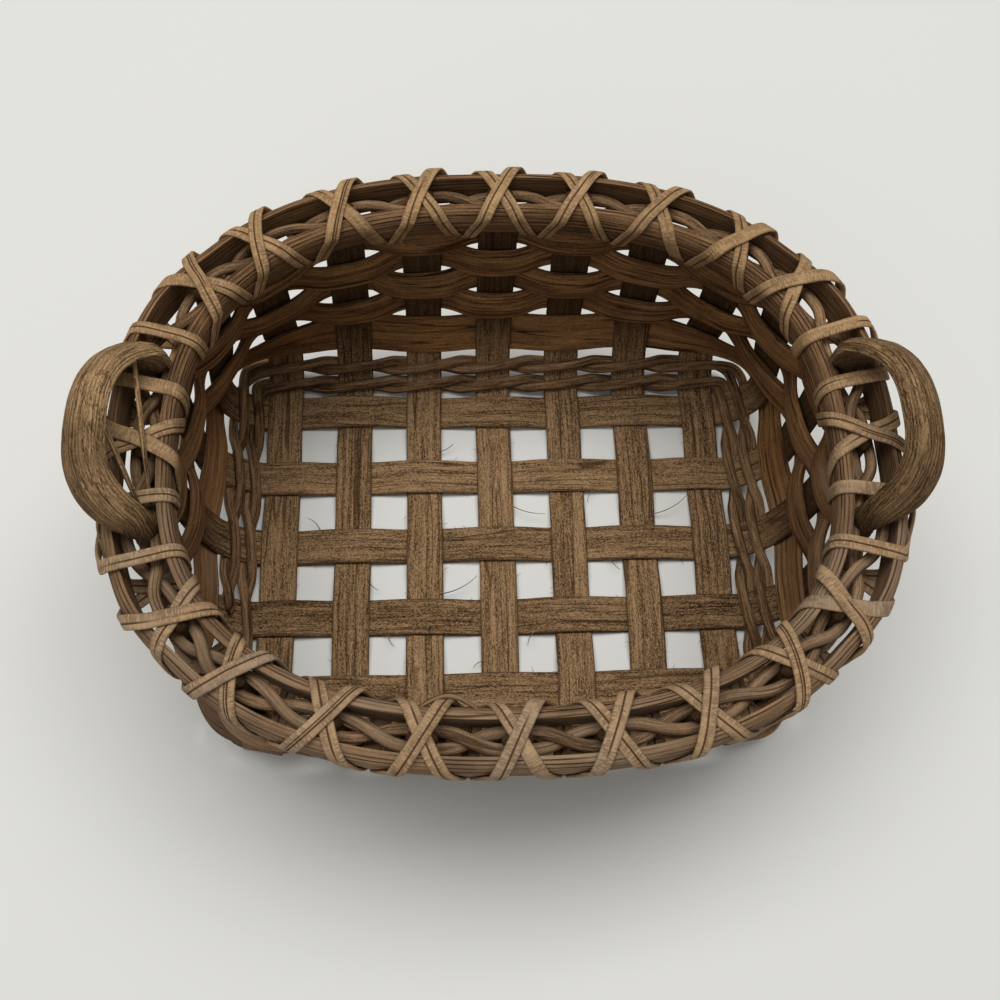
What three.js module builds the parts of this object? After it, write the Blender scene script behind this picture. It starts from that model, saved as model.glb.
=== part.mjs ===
// Gathering basket: an open grid base, woven walls, a lashed rim and two ear handles.
// Sizes are in millimetres, +Z is up, and the origin is the middle of the base on the ground.
import * as THREE from "three";

// Gap left between pieces that touch
const clearance = 0.3;

// Flat stakes: they cross in the base and stand up into the walls
const stakeWidth = 12.7;
const stakeThickness = 1.5;
const crossStakeCount = 7;
const crossStakePitch = 25.4;
const longStakeCount = 5;
const longStakePitch = 26.1;

// Wall: a rounded rectangle at the foot that turns into an oval at the rim
const baseBorder = 1.6;
const footOutset = 15.5;
const footRise = 10;
const cornerRise = 6.5;
const edgeExponent = 40;
const footExponent = 5;
const rimExponent = 2.45;
const rimHalfLength = 101;
const rimHalfWidth = 83.3;
const rimHeight = 92;
const rimEndRoom = 28.4;
const rimSideRoom = 33.3;

// Round rods, twined in pairs round the base and inside the rim
const baseRodDiameter = 3.1;
const rimRodDiameter = 2.4;
const rodSides = 5;
const baseTwineTurns = 2;
const cornerSlack = 0.55;
const twineClimb = 1.5;
const twineEndGap = 2;

// Weavers: one wide flat strip at the foot, then flat-oval strips up to the rim
const footWeaverWidth = 16.5;
const footWeaverThickness = 1.6;
const sideWeaverWidth = 10.8;
const sideWeaverThickness = 3;
const weaverSpacing = 0.5;
const scarfTip = 0.4;
const weaverScarf = 2;
const weaverScarfShift = 5;

// Rim hoops and the lashing that binds them
const hoopHeight = 12;
const hoopThickness = 3.8;
const hoopScarf = 3;
const innerHoopStart = 2;
const outerHoopStart = 14;
const bulgeHold = 0.5;
const stakeTopDrop = 3.5;
const lashWidth = 4.2;
const lashThickness = 1;

// Ear handles: an arch over the rim, with tails tucked outside the stakes
const handleWidth = 13;
const handleThickness = 5;
const handleRise = 12.5;
const handleLean = 13;
const handleLeanPower = 1.5;
const handleArchExponent = 2.6;
const handleArchSteps = 12;
const handleTailWidth = 6;
const handleTailThickness = 2.2;
const handleTailLength = 40;
const handleTipLength = 8;
const handleShoulder = 1;
const handleNeck = 0.5;

// Colours and sheen of the dry canes
const stakeColour = 0x6b5239;
const weaverColour = 0x5a4330;
const rodColour = 0x7a6046;
const hoopColour = 0x634a33;
const lashColour = 0xa58764;
const handleColour = 0x6f5036;
const caneRoughness = 0.7;

// Where the sections lie, as shares of the way from one stake or row to the next
const stakeBendShares = [0.6, 0.5, 0.36];
const stakeWallShares = [0.24, 0.6, 1];
const hoopShares = [0, 1 / 3, 2 / 3];
const lashShares = [0.12, 0.155, 0.19, 0.24];
const lashHandleShares = [0.12, 0.155, 0.16, 0.17, 0.19, 0.3, 0.52, 0.74, 0.88];

// Values worked out from the sizes above
const up = new THREE.Vector3(0, 0, 1);
const baseMiddle = stakeThickness + clearance / 2;
const baseLayer = (stakeThickness + clearance) / 2;
const crossingReach = stakeWidth / 2 + 2 * clearance;
const baseHalfLength = ((crossStakeCount - 1) * crossStakePitch + stakeWidth) / 2 + baseBorder;
const baseHalfWidth = ((longStakeCount - 1) * longStakePitch + stakeWidth) / 2 + baseBorder;
const stakeEnds = 2 * (crossStakeCount + longStakeCount);
const crossStakeRimPitch = (2 * (rimHalfLength - rimEndRoom)) / (crossStakeCount - 1);
const longStakeRimPitch = (2 * (rimHalfWidth - rimSideRoom)) / (longStakeCount - 1);
const narrowestPitch = Math.min(crossStakeRimPitch, longStakeRimPitch);
const stakeEdge = (stakeWidth / 2 + clearance) / narrowestPitch;
const baseTwine = twinePair(baseRodDiameter);
const rimTwine = twinePair(rimRodDiameter);
const channelHalf = rimTwine.reach + rimTwine.radius + 2 * clearance;
const stakeTop = rimHeight - stakeTopDrop;
const hoopMiddle = rimHeight - hoopHeight / 2;
const handleTailRoom = handleTailThickness + clearance;
const lashLayer = lashThickness + clearance;
const lashCrossing = lashWidth * Math.SQRT1_2 + clearance;

// A twined pair: how far a rod lies from the middle of the stakes, and how far it rises in the gaps
function twinePair(diameter) {
  const radius = diameter / 2;
  const reach = stakeThickness / 2 + clearance + radius + cornerSlack;
  const halfGap = radius + clearance;
  const rise = (reach * halfGap) / Math.sqrt(reach ** 2 - halfGap ** 2);
  return { radius, reach, rise, half: rise + radius };
}

// A number part of the way from one value to another, and a smooth step from 0 to 1
const between = (from, to, share) => from + (to - from) * share;
const smooth = (share) => THREE.MathUtils.smoothstep(share, 0, 1);

// The outline of the wall at a height: an oval that gets squarer towards the base
function outlineAt(height) {
  const rise = (height - baseMiddle) / (rimHeight - baseMiddle);
  const outset = footOutset * (1 - Math.exp(-(height - baseMiddle) / footRise));
  const squareness = Math.exp(-(height - baseMiddle) / cornerRise);
  return {
    rise,
    halfLength: baseHalfLength + outset + (rimHalfLength - baseHalfLength - footOutset) * rise,
    halfWidth: baseHalfWidth + outset + (rimHalfWidth - baseHalfWidth - footOutset) * rise,
    exponent:
      between(rimExponent, footExponent, (1 - rise) ** 2) +
      (edgeExponent - footExponent) * squareness,
  };
}

// How far out an oval lies on one axis, for a place on its other axis
const ovalSide = (place, half, otherHalf, exponent) =>
  otherHalf * (1 - Math.abs(place / half) ** exponent) ** (1 / exponent);

// Stake ends are counted round the basket: front, right end, back, left end
function stakeEnd(index) {
  const order = ((index % stakeEnds) + stakeEnds) % stakeEnds;
  const half = order % (stakeEnds / 2);
  const side = order < stakeEnds / 2 ? 1 : -1;
  return half < crossStakeCount
    ? { across: true, side, place: side * (half - (crossStakeCount - 1) / 2) }
    : { across: false, side, place: side * (half - crossStakeCount - (longStakeCount - 1) / 2) };
}

// The bearing of a stake end at a height, growing by a whole turn every time round
function stakeBearing(index, height) {
  const { across, side, place } = stakeEnd(index);
  const { rise, halfLength, halfWidth, exponent } = outlineAt(height);
  const turns = Math.floor(index / stakeEnds);
  const pitch = across
    ? between(crossStakePitch, crossStakeRimPitch, rise)
    : between(longStakePitch, longStakeRimPitch, rise);
  const x = across ? place * pitch : side * ovalSide(place * pitch, halfWidth, halfLength, exponent);
  const y = across ? -side * ovalSide(place * pitch, halfLength, halfWidth, exponent) : place * pitch;
  const bearing = Math.atan2(y, x);
  const wrapped = side < 0 && bearing < 0 ? bearing + 2 * Math.PI : bearing;
  return wrapped + turns * 2 * Math.PI;
}

// A point of the wall's middle surface: round is counted in stake ends
function wallPoint(round, height) {
  const { halfLength, halfWidth, exponent } = outlineAt(height);
  const first = Math.floor(round);
  const bearing = between(
    stakeBearing(first, height),
    stakeBearing(first + 1, height),
    round - first,
  );
  const cosine = Math.cos(bearing);
  const sine = Math.sin(bearing);
  const reach =
    (Math.abs(cosine / halfLength) ** exponent + Math.abs(sine / halfWidth) ** exponent) **
    (-1 / exponent);
  return new THREE.Vector3(reach * cosine, reach * sine, height);
}

// Directions on the wall: along the row, up the stake, and inwards through the wall
function wallFrame(round, height) {
  const small = 1e-3;
  const point = wallPoint(round, height);
  const along = wallPoint(round + small, height).sub(wallPoint(round - small, height)).normalize();
  const upward = wallPoint(round, height + small).sub(point).normalize();
  const inward = upward.clone().cross(along).normalize();
  const level = up.clone().cross(along).normalize();
  return { point, along, upward, inward, level };
}

// The height that lies a distance further up the stakes
function heightAbove(start, distance) {
  const step = 0.05;
  const middle = (crossStakeCount - 1) / 2;
  let height = start;
  let walked = 0;
  while (walked < distance) {
    walked += wallPoint(middle, height).distanceTo(wallPoint(middle, height + step));
    height += step;
  }
  return height;
}

// The share of the way to the next stake at which a row is past the edge of a flat stake
function edgeShare(stake, direction, height) {
  const { point, along } = wallFrame(stake, height);
  const step = 0.01;
  const passed = (share) =>
    Math.abs(wallPoint(stake + direction * share, height).sub(point).dot(along));
  let share = stakeEdge;
  while (passed(share) < stakeWidth / 2 + clearance && share < 0.5 - step) {
    share += step;
  }
  return share;
}

// How far the curve of the wall falls away from a flat stake at its edges
function edgeDrop(stake, height) {
  const { point, inward } = wallFrame(stake, height);
  const drops = [-stakeEdge, stakeEdge].map((edge) =>
    wallPoint(stake + edge, height).sub(point).dot(inward),
  );
  return Math.max(...drops, 0);
}

// How far a stake bows out between the two edges of a row
function rowBow(stake, height, width) {
  const { point, inward } = wallFrame(stake, height);
  const chord = wallPoint(stake, height - width / 2)
    .add(wallPoint(stake, height + width / 2))
    .multiplyScalar(0.5);
  return Math.abs(chord.sub(point).dot(inward));
}

// Heights of the rows, stacked from the ground to the underside of the lashing
const lowTwineHeight = baseTwine.reach + baseTwine.radius;
const highTwineHeight = heightAbove(lowTwineHeight, 2 * baseTwine.half + clearance);
const footWeaverHeight = heightAbove(
  highTwineHeight,
  baseTwine.half + clearance + weaverSpacing + footWeaverWidth / 2,
);
const sideRowsBottom = footWeaverHeight + footWeaverWidth / 2 + weaverSpacing;
const sideRowsTop = rimHeight - hoopHeight - 2 * lashLayer - clearance;
const sideRowCount = Math.floor((sideRowsTop - sideRowsBottom) / (sideWeaverWidth + weaverSpacing));
const sideRowPitch = (sideRowsTop - sideRowsBottom) / sideRowCount;
const rimTwineHeight = hoopMiddle;

// The handles rise from the second and the second last long stake at each end
const rightHandleStakes = [crossStakeCount + 1, crossStakeCount + longStakeCount - 2];
const leftHandleStakes = rightHandleStakes.map((index) => index + stakeEnds / 2);
const handleStakes = [...rightHandleStakes, ...leftHandleStakes];
const isHandleStake = (index) => handleStakes.includes(((index % stakeEnds) + stakeEnds) % stakeEnds);

// How far the outer hoop stands off, for the handle tails and at the corners
function hoopBulge(round) {
  const order = ((round % stakeEnds) + stakeEnds) % stakeEnds;
  const [first, last] = order < stakeEnds / 2 ? rightHandleStakes : leftHandleStakes;
  const beyond = Math.max(first - order, order - last, 0);
  const stake = Math.floor(order);
  const corner = between(
    edgeDrop(stake, rimTwineHeight),
    edgeDrop(stake + 1, rimTwineHeight),
    order - stake,
  );
  return corner + handleTailRoom * (1 - smooth(beyond - bulgeHold));
}

// One closed body through a row of sections that all have the same number of corners
function loft(rings) {
  const sides = rings[0].length;
  const last = (rings.length - 1) * sides;
  const faces = [];
  for (let start = 0; start < last; start += sides) {
    for (let corner = 0; corner < sides; corner++) {
      const a = start + corner;
      const b = start + ((corner + 1) % sides);
      faces.push(a, b, b + sides, a, b + sides, a + sides);
    }
  }
  for (let corner = 1; corner + 1 < sides; corner++) {
    faces.push(0, corner + 1, corner, last, last + corner, last + corner + 1);
  }
  const geometry = new THREE.BufferGeometry().setFromPoints(rings.flat());
  geometry.setIndex(faces);
  geometry.computeVertexNormals();
  return geometry;
}

// Carries a section along stations, mitred so that the strip keeps its thickness round bends
function sweep(stations) {
  const rings = stations.map(({ point, normal, section }, index) => {
    const before = stations[Math.max(index - 1, 0)].point;
    const after = stations[Math.min(index + 1, stations.length - 1)].point;
    const leaving = (index + 1 < stations.length ? after.clone().sub(point) : point.clone().sub(before));
    const arriving = index > 0 ? point.clone().sub(before) : leaving.clone();
    leaving.normalize();
    arriving.normalize();
    const tangent = arriving.clone().add(leaving).normalize();
    const facing = normal.clone().projectOnPlane(tangent).normalize();
    const across = facing.clone().cross(tangent);
    const bendSide = arriving.clone().cross(leaving).cross(tangent).normalize();
    const stretch = 1 / tangent.dot(arriving) - 1;
    return section.map(([width, height]) => {
      const offset = across.clone().multiplyScalar(width).addScaledVector(facing, height);
      offset.addScaledVector(bendSide, offset.dot(bendSide) * stretch);
      return offset.add(point);
    });
  });
  return loft(rings);
}

// Sections: corners as [across, outwards], counted anticlockwise
const flatProfile = [[-0.5, -0.5], [0.5, -0.5], [0.5, 0.5], [-0.5, 0.5]];
const handleProfile = [
  [-0.5, -0.3], [-0.35, -0.5], [0.35, -0.5], [0.5, -0.3],
  [0.5, 0.05], [0.28, 0.5], [-0.28, 0.5], [-0.5, 0.05],
];

// A section of a given width that fills the thickness from one face to another
const sectionOf = (profile, width, low, high) =>
  profile.map(([across, out]) => [across * width, between(low, high, out + 0.5)]);

// The part of a half-round hoop between two faces, flat towards the stakes
function hoopSection(low, high) {
  const widthAt = (face) => (hoopHeight / 2) * (1 - Math.max(face, 0) / hoopThickness);
  const quarter = (high - low) / 4;
  const edge = THREE.MathUtils.clamp(0, low + quarter, high - quarter);
  const corners = [low, edge, high].map((face) => [widthAt(face), face]);
  const mirrored = corners.map(([across, face]) => [-across, face]).reverse();
  return [...corners, ...mirrored];
}

function rodSection(radius) {
  return Array.from({ length: rodSides }, (unused, corner) => {
    const angle = (2 * Math.PI * corner) / rodSides;
    return [radius * Math.cos(angle), radius * Math.sin(angle)];
  });
}

const basket = new THREE.Group();

function addPiece(name, geometry, colour) {
  const material = new THREE.MeshStandardMaterial({
    color: colour,
    roughness: caneRoughness,
    metalness: 0,
  });
  const mesh = new THREE.Mesh(geometry, material);
  mesh.name = name;
  basket.add(mesh);
}

// Stakes: each is one strip, down one wall, over and under across the base, and up the other wall
function stakeWallStations(index) {
  const section = sectionOf(flatProfile, stakeWidth, -stakeThickness / 2, stakeThickness / 2);
  const rows = [baseMiddle, lowTwineHeight, highTwineHeight, footWeaverHeight];
  const bend = stakeBendShares.flatMap((share, row) => [
    between(rows[row], rows[row + 1], share),
    rows[row + 1],
  ]);
  const wall = stakeWallShares.map((share) => between(footWeaverHeight, stakeTop, share));
  return [...bend, ...wall].map((height) => {
    const { point, inward } = wallFrame(index, height);
    return { point, normal: inward, section };
  });
}

function stakeStations(firstEnd, lastEnd, crossingCount, crossingPitch, placeAt, startsUnder) {
  const section = sectionOf(flatProfile, stakeWidth, -stakeThickness / 2, stakeThickness / 2);
  const base = [];
  for (let crossing = 0; crossing < crossingCount; crossing++) {
    const middle = (crossing - (crossingCount - 1) / 2) * crossingPitch;
    const under = (crossing % 2 === 0) === startsUnder;
    const height = under ? baseMiddle - baseLayer : baseMiddle + baseLayer;
    for (const end of [-crossingReach, crossingReach]) {
      base.push({ point: placeAt(middle + end, height), normal: up, section });
    }
  }
  return [...stakeWallStations(firstEnd).reverse(), ...base, ...stakeWallStations(lastEnd)];
}

function addStakes() {
  for (let stake = 0; stake < crossStakeCount; stake++) {
    const x = (stake - (crossStakeCount - 1) / 2) * crossStakePitch;
    const stations = stakeStations(
      stake,
      stakeEnds / 2 + crossStakeCount - 1 - stake,
      longStakeCount,
      longStakePitch,
      (along, height) => new THREE.Vector3(x, along, height),
      stake % 2 === 1,
    );
    addPiece(`cross_stake_${stake + 1}`, sweep(stations), stakeColour);
  }
  for (let stake = 0; stake < longStakeCount; stake++) {
    const y = ((longStakeCount - 1) / 2 - stake) * longStakePitch;
    const stations = stakeStations(
      stakeEnds / 2 + crossStakeCount + stake,
      crossStakeCount + longStakeCount - 1 - stake,
      crossStakeCount,
      crossStakePitch,
      (along, height) => new THREE.Vector3(along, y, height),
      stake % 2 === 0,
    );
    addPiece(`long_stake_${stake + 1}`, sweep(stations), stakeColour);
  }
}

// A strip once round the basket, whose ends thin away and lie on each other as a scarf joint
function scarfedRing({ start, scarf, shares, thickness, stationAt, sectionAt }) {
  const seam = (share) =>
    -thickness / 2 + scarfTip + clearance / 2 + share * (thickness - 2 * scarfTip - clearance);
  const stations = [];
  for (let sample = 0; sample < (stakeEnds + scarf) * shares.length; sample++) {
    const walked = Math.floor(sample / shares.length) + shares[sample % shares.length];
    let low = -thickness / 2;
    let high = thickness / 2;
    if (walked <= scarf) {
      high = seam(walked / scarf) - clearance / 2;
    }
    if (walked >= stakeEnds) {
      low = seam((walked - stakeEnds) / scarf) + clearance / 2;
    }
    stations.push({ ...stationAt(start + walked), section: sectionAt(low, high) });
  }
  return sweep(stations);
}

// Weavers: flat past each stake, odd rows inside the even stake ends and even rows outside them
function addWeaver(row, height, width, thickness) {
  const besideTail = height + width / 2 > rimHeight - handleTailLength;
  const stationAt = (round) => {
    const { point, inward } = wallFrame(round, height);
    const stake = Math.round(round);
    const reach = (stakeThickness + thickness) / 2 + 2 * clearance + rowBow(stake, height, width);
    const tail = besideTail && isHandleStake(stake) ? handleTailRoom : 0;
    const offset =
      (row + stake) % 2 === 1 ? reach : -(reach + edgeDrop(stake, height) + cornerSlack + tail);
    return { point: point.addScaledVector(inward, offset), normal: inward };
  };
  const geometry = scarfedRing({
    start: row * weaverScarfShift,
    scarf: weaverScarf,
    shares: [stakeEdge, 1 - stakeEdge],
    thickness,
    stationAt,
    sectionAt: (low, high) => sectionOf(flatProfile, width, low, high),
  });
  addPiece(`side_weaver_${row}`, geometry, weaverColour);
}

function addWeavers() {
  addWeaver(1, footWeaverHeight, footWeaverWidth, footWeaverThickness);
  for (let row = 0; row < sideRowCount; row++) {
    const height = sideRowsBottom + (row + 0.5) * sideRowPitch;
    addWeaver(row + 2, height, sideWeaverWidth, sideWeaverThickness);
  }
}

// Twined rods: flat past each stake, then half a twist round the other rod in the gap
function twineRod(pair, strand, fromRound, toRound, heightAt, outsideRoom) {
  const section = rodSection(pair.radius);
  const station = (round, twist) => {
    const { point, inward, upward } = wallFrame(round, heightAt(round));
    const turn = Math.PI * (twist + strand);
    const side = Math.cos(turn);
    const outside = side < 0 ? edgeDrop(Math.round(twist), heightAt(round)) + outsideRoom(twist) : 0;
    point.addScaledVector(inward, side * (pair.reach + outside));
    point.addScaledVector(upward, Math.sin(turn) * pair.rise);
    return { point, normal: inward, section };
  };
  const firstStake = Math.round(fromRound);
  const lastStake = Math.round(toRound);
  const stations = [station(fromRound, firstStake)];
  for (let stake = firstStake; stake < lastStake; stake++) {
    const height = heightAt(stake + 0.5);
    stations.push(station(stake + edgeShare(stake, 1, height), stake));
    stations.push(station(stake + 0.5, stake + 0.5));
    stations.push(station(stake + 1 - edgeShare(stake + 1, -1, height), stake + 1));
  }
  stations.push(station(toRound, lastStake));
  return sweep(stations);
}

function addBaseTwine() {
  const climbStart = stakeEnds - twineClimb;
  const toRound = baseTwineTurns * stakeEnds - twineEndGap;
  const heightAt = (round) =>
    between(lowTwineHeight, highTwineHeight, smooth(round - climbStart));
  for (const strand of [0, 1]) {
    const geometry = twineRod(baseTwine, strand, 0, toRound, heightAt, () => 0);
    addPiece(`base_twine_rod_${strand + 1}`, geometry, rodColour);
  }
}

function addRimTwine() {
  const joint = clearance / narrowestPitch;
  const outsideRoom = (stake) => (isHandleStake(stake) ? handleTailRoom : 0);
  for (const strand of [0, 1]) {
    const geometry = twineRod(
      rimTwine,
      strand,
      joint,
      stakeEnds - joint,
      () => rimTwineHeight,
      outsideRoom,
    );
    addPiece(`rim_twine_rod_${strand + 1}`, geometry, rodColour);
  }
}

// A point of the rim bundle: out is measured from the stakes, outwards
function rimPoint(round, out, height) {
  const { point, level } = wallFrame(round, hoopMiddle);
  return point.addScaledVector(level, -out).setZ(height);
}

function addHoop(name, side, start) {
  const stationAt = (round) => {
    const bulge = side > 0 ? hoopBulge(round) : 0;
    const out = side * (channelHalf + hoopThickness / 2 + bulge);
    return { point: rimPoint(round, out, hoopMiddle), normal: wallFrame(round, hoopMiddle).level };
  };
  const geometry = scarfedRing({
    start,
    scarf: hoopScarf,
    shares: hoopShares,
    thickness: hoopThickness,
    stationAt,
    sectionAt: (low, high) =>
      side < 0
        ? hoopSection(low, high)
        : hoopSection(-high, -low).map(([across, face]) => [-across, -face]),
  });
  addPiece(name, geometry, hoopColour);
}

// The lashing's loop round the two hoops, as corners [out, height] from the inside foot over the top
function lashLoop(overFirst, besideHandle) {
  const skin = clearance + lashThickness / 2;
  const slope = Math.hypot(hoopHeight / 4, hoopThickness / 2);
  const slopeOut = hoopHeight / 4 / slope;
  const slopeUp = hoopThickness / 2 / slope;
  const shoulder = channelHalf + hoopThickness / 2 + (skin * (1 - slopeUp)) / slopeOut;
  const side = channelHalf + hoopThickness + skin;
  const lift = overFirst ? lashLayer : 0;
  const outerLift = besideHandle ? lift + clearance : 0;
  const top = rimHeight + skin;
  const foot = rimHeight - hoopHeight - skin;
  const quarter = hoopHeight / 4 + (skin * (1 - slopeOut)) / slopeUp;
  const inner = [
    [-shoulder, foot - lift],
    [-side, hoopMiddle - quarter],
    [-side, hoopMiddle + quarter],
    [-shoulder, top],
  ];
  const outer = [
    [shoulder, top],
    [side + outerLift, hoopMiddle + quarter],
    ...(besideHandle ? [[side + outerLift, hoopMiddle]] : []),
    [side + outerLift, hoopMiddle - quarter],
    [shoulder, foot - lift],
  ];
  const raised = overFirst && !besideHandle
    ? [[-lashCrossing, top + lift], [lashCrossing, top + lift]]
    : [];
  return [...inner, ...raised, ...outer];
}

// How far each corner of the loop has moved on, from one gap between stakes to the next
function lashAdvance(overFirst, besideHandle) {
  if (besideHandle) {
    return lashHandleShares;
  }
  const slant = (lashCrossing / (channelHalf + hoopThickness / 2)) * (0.5 - lashShares.at(-1));
  const raised = overFirst ? [0.5 - slant, 0.5 + slant] : [];
  return [...lashShares, ...raised, ...lashShares.map((share) => 1 - share).reverse()];
}

// One strip of lashing: its folds lie along the hoops, whatever the slant of the strip
function lashGeometry(direction, overFirst) {
  const path = [];
  for (let wrap = 0; wrap < stakeEnds; wrap++) {
    const gap = direction * (wrap + 0.5);
    const besideHandle = isHandleStake(Math.round(gap + direction / 2));
    lashAdvance(overFirst, besideHandle).forEach((share, corner) => {
      const round = gap + direction * share;
      const [out, height] = lashLoop(overFirst, besideHandle)[corner];
      path.push({ round, out, height });
    });
  }
  const rings = path.map(({ round, out, height }, index) => {
    const before = path[Math.max(index - 1, 0)];
    const after = path[Math.min(index + 1, path.length - 1)];
    const arriving = new THREE.Vector2(out - before.out, height - before.height);
    const leaving = new THREE.Vector2(after.out - out, after.height - height);
    const loopLength = arriving.length() + leaving.length();
    if (index === 0) arriving.copy(leaving);
    if (after === path[index]) leaving.copy(arriving);
    const fold = arriving.normalize().clone().add(leaving.normalize());
    const thick = new THREE.Vector2(-fold.y, fold.x).multiplyScalar(lashThickness / fold.lengthSq());
    const pitch = 2 * wallPoint(round - 1 / 4, hoopMiddle).distanceTo(wallPoint(round + 1 / 4, hoopMiddle));
    const slant = ((after.round - before.round) * pitch) / loopLength;
    const half = (lashWidth / 2 / pitch) * Math.hypot(1, slant);
    return [[-1, -1], [1, -1], [1, 1], [-1, 1]].map(([side, face]) => {
      const edge = round + side * half;
      const bulge = out > lashCrossing ? hoopBulge(edge) : 0;
      return rimPoint(edge, out + bulge + face * thick.x, height + face * thick.y);
    });
  });
  return loft(rings);
}

function addLashing() {
  addPiece("rim_lashing_first", lashGeometry(1, false), lashColour);
  addPiece("rim_lashing_second", lashGeometry(-1, true), lashColour);
}

// Handles: a tail beside a stake, a shoulder in the rim, and an arch that leans outwards
function handleTail(index, side) {
  const tailOut = stakeThickness / 2 + clearance + handleTailThickness / 2;
  const tailSize = [handleTailThickness, handleTailWidth];
  const tipSize = [handleTailThickness / 2, handleTailWidth / 2];
  const tip = rimHeight - handleTailLength;
  const levels = [
    [tip, tipSize],
    [tip + handleTipLength, tailSize],
    [hoopMiddle - hoopHeight / 2, tailSize],
    [stakeTop + clearance, tailSize],
  ];
  return levels.map(([height, [width, depth]]) => {
    const { point, inward, along } = wallFrame(index, height);
    return {
      point: point.addScaledVector(inward, -tailOut),
      normal: along.multiplyScalar(side),
      section: sectionOf(handleProfile, width, -depth / 2, depth / 2),
    };
  });
}

function handleGeometry([firstIndex, lastIndex]) {
  const shoulderOut = handleTailRoom / 2;
  const archFoot = rimHeight + handleShoulder;
  const legWidth = 2 * channelHalf + handleTailRoom - 2 * clearance;
  const first = rimPoint(firstIndex, shoulderOut, archFoot);
  const last = rimPoint(lastIndex, shoulderOut, archFoot);
  const middle = first.clone().add(last).multiplyScalar(0.5);
  const halfSpan = first.clone().sub(last).multiplyScalar(0.5);
  const away = halfSpan.clone().normalize();
  const outward = wallFrame((firstIndex + lastIndex) / 2, hoopMiddle).level.negate();
  const power = 2 / handleArchExponent;
  const arch = [];
  for (let step = 0; step <= handleArchSteps; step++) {
    const turn = (Math.PI * step) / handleArchSteps;
    const along = Math.sign(Math.cos(turn)) * Math.abs(Math.cos(turn)) ** power;
    const climb = Math.abs(Math.sin(turn)) ** power;
    const point = middle.clone().addScaledVector(halfSpan, along);
    point.addScaledVector(outward, handleLean * climb ** handleLeanPower);
    point.addScaledVector(up, handleRise * climb);
    const normal = away.clone().multiplyScalar(Math.cos(turn) * handleRise);
    normal.addScaledVector(up, Math.sin(turn) * halfSpan.length());
    normal.addScaledVector(outward, Math.sin(turn) * handleLean);
    const width = between(legWidth, handleWidth, smooth(climb / handleNeck));
    const section = sectionOf(handleProfile, width, -handleThickness / 2, handleThickness / 2);
    arch.push({ point, normal, section });
  }
  return sweep([
    ...handleTail(firstIndex, -1),
    ...arch,
    ...handleTail(lastIndex, 1).reverse(),
  ]);
}

addStakes();
addBaseTwine();
addWeavers();
addRimTwine();
addHoop("inner_rim_hoop", -1, innerHoopStart);
addHoop("outer_rim_hoop", 1, outerHoopStart);
addLashing();
addPiece("right_handle", handleGeometry(rightHandleStakes), handleColour);
addPiece("left_handle", handleGeometry(leftHandleStakes), handleColour);

export default basket;
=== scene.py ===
import math

import bpy
import numpy as np
from mathutils import Color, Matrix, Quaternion, Vector


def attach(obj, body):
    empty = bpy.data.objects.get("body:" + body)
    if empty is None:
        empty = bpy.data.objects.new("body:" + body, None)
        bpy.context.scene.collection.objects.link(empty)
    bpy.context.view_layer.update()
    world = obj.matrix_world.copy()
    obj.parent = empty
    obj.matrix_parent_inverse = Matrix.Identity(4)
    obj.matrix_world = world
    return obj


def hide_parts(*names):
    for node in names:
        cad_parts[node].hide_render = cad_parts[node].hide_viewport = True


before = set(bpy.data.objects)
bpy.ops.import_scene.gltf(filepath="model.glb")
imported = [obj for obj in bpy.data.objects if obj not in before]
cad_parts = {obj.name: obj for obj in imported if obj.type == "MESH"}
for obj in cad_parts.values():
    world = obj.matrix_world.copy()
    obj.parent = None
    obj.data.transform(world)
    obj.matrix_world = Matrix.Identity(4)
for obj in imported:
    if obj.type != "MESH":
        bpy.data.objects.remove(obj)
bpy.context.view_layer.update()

bl_info = {
    "name": "Gathering basket",
    "version": (1, 0, 0),
    "blender": (4, 5, 0),
    "location": "View3D > Sidebar > Basket",
    "description": "Weaves an oval gathering basket of flat, oval and round reed",
    "category": "Add Mesh",
}

BODY = "root"
MM = 0.001
X, Y, Z = range(3)
UP = np.array([0.0, 0.0, 1.0])
CROSS_STAKES = 7
LONG_STAKES = 5
HALF_ENDS = CROSS_STAKES + LONG_STAKES
STAKE_ENDS = 2 * HALF_ENDS
RIGHT_HANDLE = (CROSS_STAKES + 1, HALF_ENDS - 2)
LEFT_HANDLE = tuple(stake + HALF_ENDS for stake in RIGHT_HANDLE)


def length(name, description, millimetres):
    """A size that the user can change, given in millimetres."""
    return bpy.props.FloatProperty(
        name=name, description=description, default=millimetres * MM, unit="LENGTH", precision=5
    )


def number(name, description, default):
    """A plain number that the user can change."""
    return bpy.props.FloatProperty(name=name, description=description, default=default)


def colour(name, description, *shown):
    """A colour that the user can change, given as it shows on a screen, from 0 to 255."""
    tint = Color([part / 255 for part in shown]).from_srgb_to_scene_linear()
    return bpy.props.FloatVectorProperty(
        name=name, description=description, default=(*tint, 1), size=4, subtype="COLOR", min=0, max=1
    )


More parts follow.
